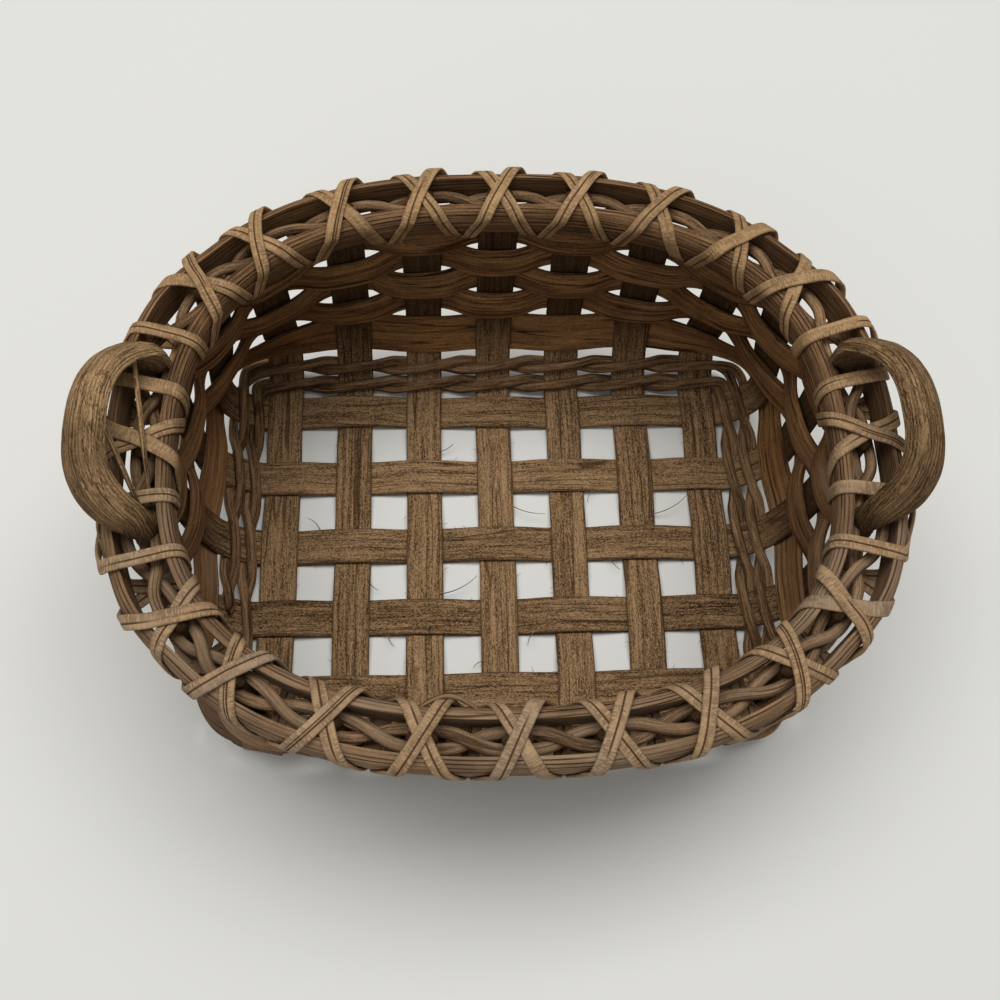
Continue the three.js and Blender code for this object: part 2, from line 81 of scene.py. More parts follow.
class BasketSizes(bpy.types.PropertyGroup):
    """Sizes of the basket's pieces."""

    clearance: length("Clearance", "Gap between pieces that touch", 0.3)
    stake_width: length("Stake width", "Width of the flat stakes", 12.7)
    stake_thickness: length("Stake thickness", "Thickness of the flat stakes", 1.5)
    cross_pitch: length("Cross stake pitch", "Spacing of the cross stakes in the base", 25.4)
    long_pitch: length("Long stake pitch", "Spacing of the long stakes in the base", 26.1)
    base_border: length("Base border", "Base beyond the outermost stakes", 1.6)
    foot_outset: length("Foot outset", "How far the wall stands outside the base", 15.5)
    foot_rise: length("Foot rise", "Height over which the stakes turn up", 10)
    corner_rise: length("Corner rise", "Height over which the corners turn round", 6.5)
    edge_exponent: number("Edge squareness", "Squareness of the base's edge", 40)
    foot_exponent: number("Foot squareness", "Squareness of the wall at its foot", 5)
    rim_exponent: number("Rim squareness", "Squareness of the rim", 2.45)
    rim_half_length: length("Rim half length", "Half the length at the stake tops", 101)
    rim_half_width: length("Rim half width", "Half the width at the stake tops", 83.3)
    rim_height: length("Rim height", "Height of the top of the rim hoops", 92)
    rim_end_room: length("Rim end room", "From the last cross stake to the end of the rim", 28.4)
    rim_side_room: length("Rim side room", "From the last long stake to the side of the rim", 33.3)
    base_rod: length("Base rod", "Thickness that the rods round the base are spaced for", 3.1)
    rim_rod: length("Rim rod", "Thickness that the rods in the rim are spaced for", 2.4)
    corner_slack: length("Corner slack", "Room left where rows turn a corner", 0.55)
    foot_weaver_width: length("Foot weaver width", "Width that the lowest row is spaced for", 16.5)
    foot_weaver_thickness: length("Foot weaver thickness", "Thickness of the lowest row", 1.6)
    side_weaver_width: length("Weaver width", "Width that the upper rows are spaced for", 10.8)
    row_spread: length("Row spread", "Extra width of the upper rows, which lie pressed together", 2.2)
    side_weaver_thickness: length("Weaver thickness", "Thickness of the upper rows", 3)
    weaver_spacing: length("Weaver spacing", "Gap that the rows are spaced for", 0.5)
    hoop_height: length("Hoop height", "Height of the rim hoops' section", 12)
    hoop_thickness: length("Hoop thickness", "Thickness of the rim hoops", 3.8)
    stake_top_drop: length("Stake top drop", "Depth below the rim that stake ends are set from", 3.5)
    lash_width: length("Lashing width", "Width of the lashing", 4.2)
    lash_thickness: length("Lashing thickness", "Thickness of the lashing", 1)
    handle_width: length("Handle width", "Width of the handle strips", 13)
    handle_thickness: length("Handle thickness", "Thickness of the handle strips", 5)
    handle_rise: length("Handle rise", "Height of the handles over the rim", 12.5)
    handle_lean: length("Handle lean", "How far the handles lean outwards", 13)
    handle_tail: length("Handle tail", "Length of the handle tails below the rim", 40)
    foot_bend: length("Foot bend", "How far the stakes give way to the lowest row", 1)
    fibre_radius: length("Fibre radius", "Radius of the stray fibres", 0.2)
    fold_foot: length("Fold foot", "Height above which the stake ends are folded over", 87.4)
    fold_thickness: length("Fold thickness", "Thickness of the folded stake ends", 4.6)
    strand_radius: length("Strand radius", "Radius of the split strands", 0.75)
    split_bow: length("Split bow", "How far the split strand of the inner hoop bows off", 3.2)


class BasketColours(bpy.types.PropertyGroup):
    """Colours of the dry reed and of the stage."""

    stake_dark: colour("Stake grooves", "Dark grain of the flat stakes", 52, 31, 12)
    stake_pale: colour("Stake ridges", "Pale grain of the flat stakes", 172, 139, 101)
    weaver_dark: colour("Weaver grooves", "Dark grain of the wall rows", 52, 25, 3)
    weaver_pale: colour("Weaver ridges", "Pale grain of the wall rows", 184, 136, 86)
    rod_dark: colour("Rod grooves", "Dark grain of the round rods", 50, 27, 8)
    rod_pale: colour("Rod ridges", "Pale grain of the round rods", 168, 134, 98)
    hoop_dark: colour("Hoop grooves", "Dark grain of the rim hoops", 42, 20, 4)
    hoop_pale: colour("Hoop ridges", "Pale grain of the rim hoops", 150, 114, 78)
    lash_dark: colour("Lashing cracks", "Dark cracks of the lashing", 62, 38, 18)
    lash_pale: colour("Lashing", "Pale skin of the lashing", 197, 160, 115)
    handle_dark: colour("Handle grooves", "Dark grain of the handles", 58, 36, 14)
    handle_pale: colour("Handle ridges", "Pale grain of the handles", 198, 162, 118)
    weathered: colour("Weathered", "Grey of sun-bleached reed", 160, 138, 114)
    floor: colour("Floor", "Colour of the floor", 226, 227, 224)


def unit(vectors):
    """Vectors of length one."""
    return vectors / np.linalg.norm(vectors, axis=-1, keepdims=True)


def smooth(share):
    """A smooth step from 0 to 1."""
    share = np.clip(share, 0, 1)
    return share * share * (3 - 2 * share)


def grown(share, growth):
    """A value that starts at a share and grows to 1."""
    return share + (1 - share) * growth


def pressed(wave, sharpness):
    """A wave from -1 to 1 with flattened tops, as a strip lies over and under others."""
    return np.tanh(sharpness * wave) / math.tanh(sharpness)


def squared_off(value, squareness):
    """A sine or cosine bent towards a square's: a squareness of 2 leaves it round."""
    return np.sign(value) * np.abs(value) ** (2 / squareness)


def is_handle_stake(stake):
    """True where a handle's tail runs beside the stake."""
    return np.isin(np.mod(stake, STAKE_ENDS), RIGHT_HANDLE + LEFT_HANDLE)


def column(values, along):
    """Values for each point along a strip, as a column."""
    return np.broadcast_to(values, along.shape)[:, None]


def lengths_along(path):
    """Length walked from the start of a path to each of its points."""
    return np.concatenate([[0], np.cumsum(np.linalg.norm(np.diff(path, axis=0), axis=1))])


def spread(values, walked, places):
    """Rows of values that belong to walked lengths, worked out for other places along the way."""
    return np.stack([np.interp(places, walked, part) for part in values.T], -1)


def smoothed(path, steps):
    """A path with its corners eased, its two ends kept."""
    for _ in range(steps):
        path = path.copy()
        path[1:-1] = (path[:-2] + 2 * path[1:-1] + path[2:]) / 4
    return path


def resampled(path, facing, step):
    """A path and its facings at even steps of its length."""
    walked = lengths_along(path)
    places = np.linspace(0, walked[-1], int(walked[-1] / step) + 1)
    return spread(path, walked, places), unit(spread(facing, walked, places)), places


def curve_through(corners, per_span):
    """A rounded curve through corner values, as a spline that passes all of them."""
    padded = np.concatenate([2 * corners[:1] - corners[1:2], corners, 2 * corners[-1:] - corners[-2:-1]])
    share = (np.arange(per_span) / per_span)[None, :, None]
    a, b, c, d = (padded[i : len(padded) - 3 + i, None, :] for i in range(4))
    spans = 0.5 * (
        2 * b
        + (c - a) * share
        + (2 * a - 5 * b + 4 * c - d) * share**2
        + (3 * b - a - 3 * c + d) * share**3
    )
    return np.concatenate([spans.reshape(-1, corners.shape[1]), corners[-1:]])


class Wall:
    """The curved wall that all pieces follow. A place round it is counted in stake ends."""

    TAIL_THICKNESS = 2.2 * MM
    # How far past a handle the outer hoop keeps clear of its tails, in stake ends
    TAIL_LAP = 0.5
    # Small steps for measuring along the wall
    HEIGHT_STEP = 0.05 * MM
    PLACE_STEP = 1e-3

    def __init__(self, sizes):
        for name in BasketSizes.__annotations__:
            setattr(self, name, getattr(sizes, name))
        self.base_middle = self.stake_thickness + self.clearance / 2
        self.base_layer = (self.stake_thickness + self.clearance) / 2
        base_length = (CROSS_STAKES - 1) * self.cross_pitch + self.stake_width
        base_width = (LONG_STAKES - 1) * self.long_pitch + self.stake_width
        self.base_half_length = base_length / 2 + self.base_border
        self.base_half_width = base_width / 2 + self.base_border
        self.cross_rim_pitch = (self.rim_half_length - self.rim_end_room) * 2 / (CROSS_STAKES - 1)
        self.long_rim_pitch = (self.rim_half_width - self.rim_side_room) * 2 / (LONG_STAKES - 1)
        self.stake_edge = (self.stake_width / 2 + self.clearance) / self.cross_rim_pitch
        self.base_pair = self.twine_pair(self.base_rod)
        self.rim_pair = self.twine_pair(self.rim_rod)
        self.channel_half = self.rim_pair["reach"] + self.rim_pair["radius"] + 2 * self.clearance
        self.stake_top = self.rim_height - self.stake_top_drop
        self.hoop_middle = self.rim_height - self.hoop_height / 2
        self.tail_room = self.TAIL_THICKNESS + self.clearance
        self.low_twine = self.base_pair["reach"] + self.base_pair["radius"]
        self.foot_row, self.rows = self.row_heights()

    def twine_pair(self, diameter):
        """Radius of a twined rod, its distance from the stakes' middle and its rise in the gaps."""
        radius = diameter / 2
        reach = self.stake_thickness / 2 + self.clearance + radius + self.corner_slack
        half_gap = radius + self.clearance
        rise = reach * half_gap / math.sqrt(reach**2 - half_gap**2)
        return {"radius": radius, "reach": reach, "rise": rise}

    def row_heights(self):
        """Height of the lowest row, and of the rows spread evenly from there to the rim."""
        pair_half = self.base_pair["rise"] + self.base_pair["radius"]
        high_twine = self.height_above(self.low_twine, 2 * pair_half + self.clearance)
        foot_gap = pair_half + self.clearance + self.weaver_spacing
        foot_row = self.height_above(high_twine, foot_gap + self.foot_weaver_width / 2)
        bottom = foot_row + self.foot_weaver_width / 2 + self.weaver_spacing
        lash_layer = self.lash_thickness + self.clearance
        top = self.rim_height - self.hoop_height - 2 * lash_layer - self.clearance
        count = int((top - bottom) / (self.side_weaver_width + self.weaver_spacing))
        pitch = (top - bottom) / count
        return foot_row, [bottom + (row + 0.5) * pitch for row in range(count)]

    def outline(self, height):
        """How far up the wall a height is, with the wall's half sizes and squareness there."""
        above = height - self.base_middle
        rise = above / (self.rim_height - self.base_middle)
        outset = self.foot_outset * (1 - np.exp(-above / self.foot_rise))
        length_growth = self.rim_half_length - self.base_half_length - self.foot_outset
        width_growth = self.rim_half_width - self.base_half_width - self.foot_outset
        half_length = self.base_half_length + outset + length_growth * rise
        half_width = self.base_half_width + outset + width_growth * rise
        exponent = self.rim_exponent + (self.foot_exponent - self.rim_exponent) * (1 - rise) ** 2
        corner = np.exp(-above / self.corner_rise)
        exponent = exponent + (self.edge_exponent - self.foot_exponent) * corner
        return rise, half_length, half_width, exponent

    def stake_bearing(self, index, height):
        """Bearing of a stake end, growing by a whole turn every time round."""
        order = np.mod(index, STAKE_ENDS)
        half = np.mod(order, HALF_ENDS)
        side = np.where(order < HALF_ENDS, 1, -1)
        across = half < CROSS_STAKES
        place = side * np.where(
            across, half - (CROSS_STAKES - 1) / 2, half - CROSS_STAKES - (LONG_STAKES - 1) / 2
        )
        rise, half_length, half_width, exponent = self.outline(height)
        cross_pitch = self.cross_pitch + (self.cross_rim_pitch - self.cross_pitch) * rise
        long_pitch = self.long_pitch + (self.long_rim_pitch - self.long_pitch) * rise
        offset = place * np.where(across, cross_pitch, long_pitch)
        own = np.where(across, half_length, half_width)
        other = np.where(across, half_width, half_length)
        reach = other * np.maximum(1 - np.abs(offset / own) ** exponent, 0) ** (1 / exponent)
        x = np.where(across, offset, side * reach)
        y = np.where(across, -side * reach, offset)
        bearing = np.arctan2(y, x)
        bearing = np.where((side < 0) & (bearing < 0), bearing + 2 * np.pi, bearing)
        return bearing + np.floor(index / STAKE_ENDS) * 2 * np.pi

    def point(self, place, height):
        """Points of the middle of the wall."""
        place, height = np.broadcast_arrays(np.asarray(place, float), np.asarray(height, float))
        first = np.floor(place)
        start = self.stake_bearing(first, height)
        end = self.stake_bearing(first + 1, height)
        bearing = start + (end - start) * (place - first)
        cosine, sine = np.cos(bearing), np.sin(bearing)
        _, half_length, half_width, exponent = self.outline(height)
        reach = (
            np.abs(cosine / half_length) ** exponent + np.abs(sine / half_width) ** exponent
        ) ** (-1 / exponent)
        return np.stack([reach * cosine, reach * sine, height], -1)

    def directions(self, place, height):
        """Points of the wall with the ways up the stake, inwards and level inwards."""
        point = self.point(place, height)
        step = self.PLACE_STEP
        along = unit(self.point(place + step, height) - self.point(place - step, height))
        upward = unit(self.point(place, height + step * MM) - point)
        inward = unit(np.cross(upward, along))
        level = unit(np.cross(np.broadcast_to(UP, along.shape), along))
        return point, upward, inward, level

    def height_above(self, start, distance):
        """Height that lies a distance further up the stakes."""
        heights = np.arange(start, start + 2 * distance, self.HEIGHT_STEP)
        path = self.point((CROSS_STAKES - 1) / 2, heights)
        return heights[np.searchsorted(lengths_along(path), distance)]

    def edge_drop(self, stake, height):
        """How far the wall falls away from a flat stake at its edges."""
        point, _, inward, _ = self.directions(stake, height)
        drops = [
            np.sum((self.point(stake + edge, height) - point) * inward, -1)
            for edge in (-self.stake_edge, self.stake_edge)
        ]
        return np.maximum(np.maximum(*drops), 0)

    def hoop_bulge(self, place):
        """How far the outer hoop stands off at the handle tails and the corners."""
        order = np.mod(place, STAKE_ENDS)
        right = order < HALF_ENDS
        first = np.where(right, RIGHT_HANDLE[0], LEFT_HANDLE[0])
        last = np.where(right, RIGHT_HANDLE[1], LEFT_HANDLE[1])
        beyond = np.maximum(np.maximum(first - order, order - last), 0)
        stake = np.floor(order)
        start = self.edge_drop(stake, self.hoop_middle)
        end = self.edge_drop(stake + 1, self.hoop_middle)
        tails = self.tail_room * (1 - smooth(beyond - self.TAIL_LAP))
        return start + (end - start) * (order - stake) + tails

    def rim_inward(self, place):
        """The level way inwards at the rim."""
        return self.directions(place, self.hoop_middle)[-1]

    def rim_point(self, place, out, height):
        """Point of the rim bundle: out is measured from the stakes, outwards."""
        point, _, _, level = self.directions(place, self.hoop_middle)
        point = point - level * np.asarray(out)[..., None]
        point[..., Z] = height
        return point


class Grain:
    """Smooth random values over a surface, the same every time for one seed."""

    SIZE = 128

    def __init__(self, seed):
        self.table = np.random.default_rng(seed).uniform(-1, 1, (self.SIZE, self.SIZE))

    def at(self, along, across):
        """Values at places counted in cells along and across."""
        along, across = np.broadcast_arrays(np.asarray(along, float), np.asarray(across, float))
        first, second = np.floor(along).astype(int), np.floor(across).astype(int)
        share, other = smooth(along - first), smooth(across - second)
        low, high = (
            self.cell(first, second + row) * (1 - share) + self.cell(first + 1, second + row) * share
            for row in (0, 1)
        )
        return low * (1 - other) + high * other

    def cell(self, along, across):
        """Values of whole cells, which repeat after the table's size."""
        return self.table[np.mod(along, self.SIZE), np.mod(across, self.SIZE)]


class Reed:
    """Sections of one strip of reed, as places across it and outwards."""

    # Fine ridges among the broad ones: how many times as many, where their grain starts, their share
    FINE_ALONG = 2.3
    FINE_ACROSS = 2.1
    FINE_START = (31, 17)
    FINE_SHARE = 0.35
    # Slow and quick waves of an edge: length, start and lane in the grain, and share
    EDGE_WAVES = ((28 * MM, 5, 40.5, 0.7), (7 * MM, 9, 60.5, 0.3))
    # How much a flat strip's columns crowd at its edges, and the share of its thickness there
    CROWDING = 0.35
    EDGE_THICKNESS = 0.12
    # Where the grain of an underside starts along the reed, in metres
    STRIP_UNDER_START = 0.5
    DOME_UNDER_START = 0.7
    # A half-round strip: its roundness, the highest share of it that a joint is cut to, its least
    # thickness at the edges and in all, and how many columns of the dome go to one of the flat face
    HALF_ROUND_POWER = 2.4
    HIGHEST_CUT = 0.95
    LEAST_EDGE = 0.1 * MM
    LEAST_THICKNESS = 0.15 * MM
    FLAT_COLUMNS = 3
    # Its ridges: how they fade at the edges, spread over the dome's height and show sideways
    HALF_ROUND_FADE = (6, 0.1)
    DOME_GIRTH = 0.7
    SIDE_RIDGE = 0.4
    # A thick domed strip: its roundness at the edges and above, and how its ridges fade at the edges,
    # how many more there are on top and how high they are below
    DOME_POWERS = (2.5, 2.2)
    DOME_FADE = (8, 0.15)
    DOME_RIDGES = 1.3
    DOME_UNDER_RIDGE = 0.5

    def __init__(self, seed, ridge, ridge_width, ridge_length):
        self.grain = Grain(seed)
        self.ridge = ridge
        self.ridge_width = ridge_width
        self.ridge_length = ridge_length

    def relief(self, along, across):
        """Ridges and grooves of the reed's fibres: from -1 in a groove to 1 on a ridge."""
        along, across = along / self.ridge_length, across / self.ridge_width
        fine_along = along * self.FINE_ALONG + self.FINE_START[0]
        fine_across = across * self.FINE_ACROSS + self.FINE_START[1]
        broad, fine = self.grain.at(along, across), self.grain.at(fine_along, fine_across)
        return (1 - self.FINE_SHARE) * broad + self.FINE_SHARE * fine

    def stray(self, along, most, wave, lane):
        """How much a strip varies: at most so much, in waves of a length, by one lane of its grain."""
        return most * self.grain.at(along / wave, lane)

    def edge(self, along, side):
        """How far the reed's edge strays from a straight line."""
        return sum(
            share * self.grain.at(along / wave + start, side * lane)
            for wave, start, lane, share in self.EDGE_WAVES
        )

    def strip(self, along, width, low, high, crown, columns, stray=0.3 * MM, curl=0.0):
        """A flat strip: crown is the power of its rounded edges, curl how far these bend outwards."""
        low, high = column(low, along), column(high, along)
        crowded = -np.cos(np.linspace(0, np.pi, columns))
        shares = self.CROWDING * crowded + (1 - self.CROWDING) * np.linspace(-1, 1, columns)
        left = -width / 2 + stray * self.edge(along, -1)
        right = width / 2 + stray * self.edge(along, 1)
        middle, half = (left + right) / 2, (right - left) / 2
        across = middle[:, None] + half[:, None] * shares
        bow = (1 - np.abs(shares) ** crown) ** (1 / crown)
        centre = (low + high) / 2 + column(curl, along) * shares**2
        thick = (high - low) / 2 * grown(self.EDGE_THICKNESS, bow)
        top_grain = self.relief(along[:, None], across)
        under_grain = self.relief(along[:, None] + self.STRIP_UNDER_START, across)
        top = np.stack([across, centre + thick + self.ridge * top_grain * bow], -1)
        under = np.stack([across, centre - thick - self.ridge * under_grain * bow], -1)
        return closed(under, top), closed(under_grain, top_grain)

    def half_round(self, along, width, low, high, thickness, columns):
        """A half-round strip between two faces, flat at its lowest face."""
        low, high = column(low, along), column(high, along)
        power = self.HALF_ROUND_POWER
        level = np.clip(low / thickness, 0, self.HIGHEST_CUT)
        half = width / 2 * (1 - level**power) ** (1 / power)
        shares = np.sin(np.linspace(-np.pi / 2, np.pi / 2, columns))
        across = half * shares
        dome = thickness * np.maximum(1 - np.abs(across / (width / 2)) ** power, 0) ** (1 / power)
        dome = np.clip(dome, low + self.LEAST_EDGE, np.maximum(high, low + self.LEAST_THICKNESS))
        grain = self.relief(along[:, None], across + dome * self.DOME_GIRTH)
        sideways = across * (1 + self.SIDE_RIDGE * self.ridge * grain / half)
        outwards = dome + self.ridge * grain * faded(shares, *self.HALF_ROUND_FADE)
        flat = across[:, :: self.FLAT_COLUMNS]
        under = np.stack([flat, np.broadcast_to(low, flat.shape)], -1)
        top = np.stack([sideways, outwards], -1)
        return closed(under, top), closed(np.zeros(flat.shape), grain)

    def domed(self, along, width, thickness, columns):
        """A thick strip with a rounded top and a flat underside, both with ridges."""
        thick = thickness[:, None]
        shares = np.sin(np.linspace(-np.pi / 2, np.pi / 2, columns))
        across = width[:, None] / 2 * shares
        fade = faded(shares, *self.DOME_FADE)
        top_grain = self.relief(along[:, None], across * self.DOME_RIDGES)
        under_grain = self.relief(along[:, None] + self.DOME_UNDER_START, across)
        edge_power, dome_power = self.DOME_POWERS
        dome = thick * (1 - np.abs(shares) ** edge_power) ** (1 / dome_power)
        top = np.stack([across, dome - thick / 2 + self.ridge * top_grain * fade], -1)
        under_ridge = self.DOME_UNDER_RIDGE * self.ridge
        under = np.stack([across, -thick / 2 + under_ridge * under_grain * fade], -1)
        return closed(under, top), closed(under_grain, top_grain)

    def rod(self, along, radius, sides):
        """A round rod with grooves along it."""
        radius = column(radius, along)
        turn = 2 * np.pi * np.arange(sides) / sides
        around = np.abs(np.mod(turn / np.pi + 1, 2) - 1) * np.pi
        grain = self.relief(along[:, None], around * radius.mean())
        return ring(radius + self.ridge * grain, turn), grain


def closed(under, top):
    """A section, or its values, that goes along the under face and back over the top."""
    return np.concatenate([under, top[:, ::-1]], axis=1)


def ring(radius, turn):
    """A round section."""
    return np.stack([radius * np.cos(turn), radius * np.sin(turn)], -1)


def faded(shares, power, least):
    """1 in the middle of a strip, and less towards its edges."""
    return np.clip(1 - np.abs(shares) ** power, least, 1)


def end_taper(along, share, reach):
    """A share at both ends of a strip, 1 from a reach away from them."""
    return grown(share, smooth(np.minimum(along, along[-1] - along) / reach))


def even_walk(along, walked):
    """Stake ends passed at each point along a strip."""
    return np.interp(along, np.linspace(0, along[-1], len(walked)), walked)


def scarf_faces(walked, walk, scarf, thickness, clearance):
    """Lower and upper face, along a walk, of a strip whose two ends thin away on each other."""
    tip = 0.35 * MM
    share = np.where(walked <= scarf, walked, walked - STAKE_ENDS) / scarf
    seam = -thickness / 2 + tip + share * (thickness - 2 * tip)
    low = np.where(walked >= STAKE_ENDS, seam + clearance / 4, -thickness / 2)
    high = np.where(walked <= scarf, seam - clearance / 4, thickness / 2)
    return np.interp(walk, walked, low), np.interp(walk, walked, high)


def skin(path, facing, section):
    """Points of a strip swept along a path: the section's places go across and outwards."""
    tangent = unit(np.gradient(path, axis=0))
    facing = unit(facing - tangent * np.sum(facing * tangent, -1, keepdims=True))
    across = np.cross(facing, tangent)
    return (
        path[:, None, :]
        + across[:, None, :] * section[..., :1]
        + facing[:, None, :] * section[..., 1:]
    )


class Piece:
    """Collects swept strips and makes one mesh object of them."""

    # Metres of reed, long and wide, that pieces are cut from, so that no two have the same grain
    STOCK = 40

    def __init__(self, name, seed):
        self.name = name
        self.shift = np.random.default_rng(seed).uniform(0, self.STOCK, 2)
        self.points, self.loops, self.totals, self.uvs = [], [], [], []
        self.hollows, self.sides = [], []
        self.count = 0

    def add(self, path, facing, along, section, hollow):
        """Adds one closed strip."""
        points = skin(path, facing, section)
        rows, columns = points.shape[:2]
        grid = np.arange(rows * columns).reshape(rows, columns) + self.count
        after = np.roll(grid, -1, axis=1)
        quads = np.stack([grid[:-1], after[:-1], after[1:], grid[1:]], -1).reshape(-1, 4)
        steps = np.linalg.norm(np.diff(section, axis=1, append=section[:, :1]), axis=-1)
        around = np.concatenate([np.zeros((rows, 1)), np.cumsum(steps, axis=1)], axis=1)
        u = np.repeat(along[:, None], columns + 1, axis=1) + self.shift[0]
        uv = np.stack([u, around + self.shift[1]], -1)
        corners = np.stack([uv[:-1, :-1], uv[:-1, 1:], uv[1:, 1:], uv[1:, :-1]], 2)
        side = section[..., 0] / np.max(np.abs(section[..., 0]), axis=1, keepdims=True)
        self.points.append(points.reshape(-1, 3))
        self.hollows.append(hollow.reshape(-1))
        self.sides.append(side.reshape(-1))
        self.loops += [quads.reshape(-1), grid[0, ::-1], grid[-1]]
        self.totals += [np.full(len(quads), 4), [columns], [columns]]
        self.uvs += [corners.reshape(-1, 2), uv[0, :-1][::-1], uv[-1, :-1]]
        self.count += rows * columns

    def build(self, material, node):
        """Makes the object, gives it its finish and lets it stand for its solid."""
        points, loops = np.concatenate(self.points), np.concatenate(self.loops)
        totals = np.concatenate(self.totals).astype(np.int32)
        mesh = bpy.data.meshes.new(self.name)
        mesh.vertices.add(len(points))
        mesh.vertices.foreach_set("co", points.astype(np.float32).ravel())
        mesh.loops.add(len(loops))
        mesh.loops.foreach_set("vertex_index", loops.astype(np.int32))
        mesh.polygons.add(len(totals))
        mesh.polygons.foreach_set("loop_start", np.cumsum(totals) - totals)
        mesh.polygons.foreach_set("loop_total", totals)
        mesh.polygons.foreach_set("use_smooth", np.ones(len(totals), bool))
        layer = mesh.uv_layers.new(name="Reed")
        layer.data.foreach_set("uv", np.concatenate(self.uvs).astype(np.float32).ravel())
        for name, values in (("hollow", self.hollows), ("side", self.sides)):
            attribute = mesh.attributes.new(name, "FLOAT", "POINT")
            attribute.data.foreach_set("value", np.concatenate(values).astype(np.float32))
        mesh.update(calc_edges=True)
        mesh.validate()
        mesh.materials.append(material)
        piece = bpy.data.objects.new(self.name, mesh)
        bpy.context.scene.collection.objects.link(piece)
        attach(piece, BODY)
        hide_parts(node)


class Shade:
    """A shader socket that can be used in Python sums."""

    # Sockets of a Mix node that mixes colours
    MIX_FACTOR = 0
    MIX_FIRST = 6
    MIX_SECOND = 7
    MIX_RESULT = 2

    def __init__(self, tree, socket=None):
        self.tree = tree
        self.socket = socket

    def node(self, kind, settings=None, sockets=None, output=0):
        """Adds a node, with its settings first and then its sockets, and gives back one output."""
        node = self.tree.nodes.new(kind)
        for name, value in (settings or {}).items():
            setattr(node, name, value)
        for name, value in (sockets or {}).items():
            if isinstance(value, Shade):
                self.tree.links.new(value.socket, node.inputs[name])
            else:
                node.inputs[name].default_value = value
        return Shade(self.tree, node.outputs[output])

    def sum(self, operation, *values):
        """A Math node on one or two values."""
        return self.node("ShaderNodeMath", {"operation": operation}, dict(enumerate(values)))

    def __add__(self, other):
        return self.sum("ADD", self, other)

    def __radd__(self, other):
        return self.sum("ADD", other, self)

    def __sub__(self, other):
        return self.sum("SUBTRACT", self, other)

    def __rsub__(self, other):
        return self.sum("SUBTRACT", other, self)

    def __mul__(self, other):
        return self.sum("MULTIPLY", self, other)

    def __rmul__(self, other):
        return self.sum("MULTIPLY", other, self)

    def __abs__(self):
        return self.sum("ABSOLUTE", self)

    def between(self, low, high):
        """A smooth step from 0 at low to 1 at high."""
        return self.node(
            "ShaderNodeMapRange",
            {"interpolation_type": "SMOOTHSTEP"},
            {"Value": self, "From Min": low, "From Max": high},
        )

    def mix(self, first, second):
        """A colour between two, by this value."""
        sockets = {self.MIX_FACTOR: self, self.MIX_FIRST: first, self.MIX_SECOND: second}
        return self.node("ShaderNodeMix", {"data_type": "RGBA"}, sockets, output=self.MIX_RESULT)


def new_tree(name):
    """A material with its surface and a start for more nodes."""
    material = bpy.data.materials.new(name)
    material.use_nodes = True
    tree = material.node_tree
    return material, tree.nodes["Principled BSDF"], Shade(tree)


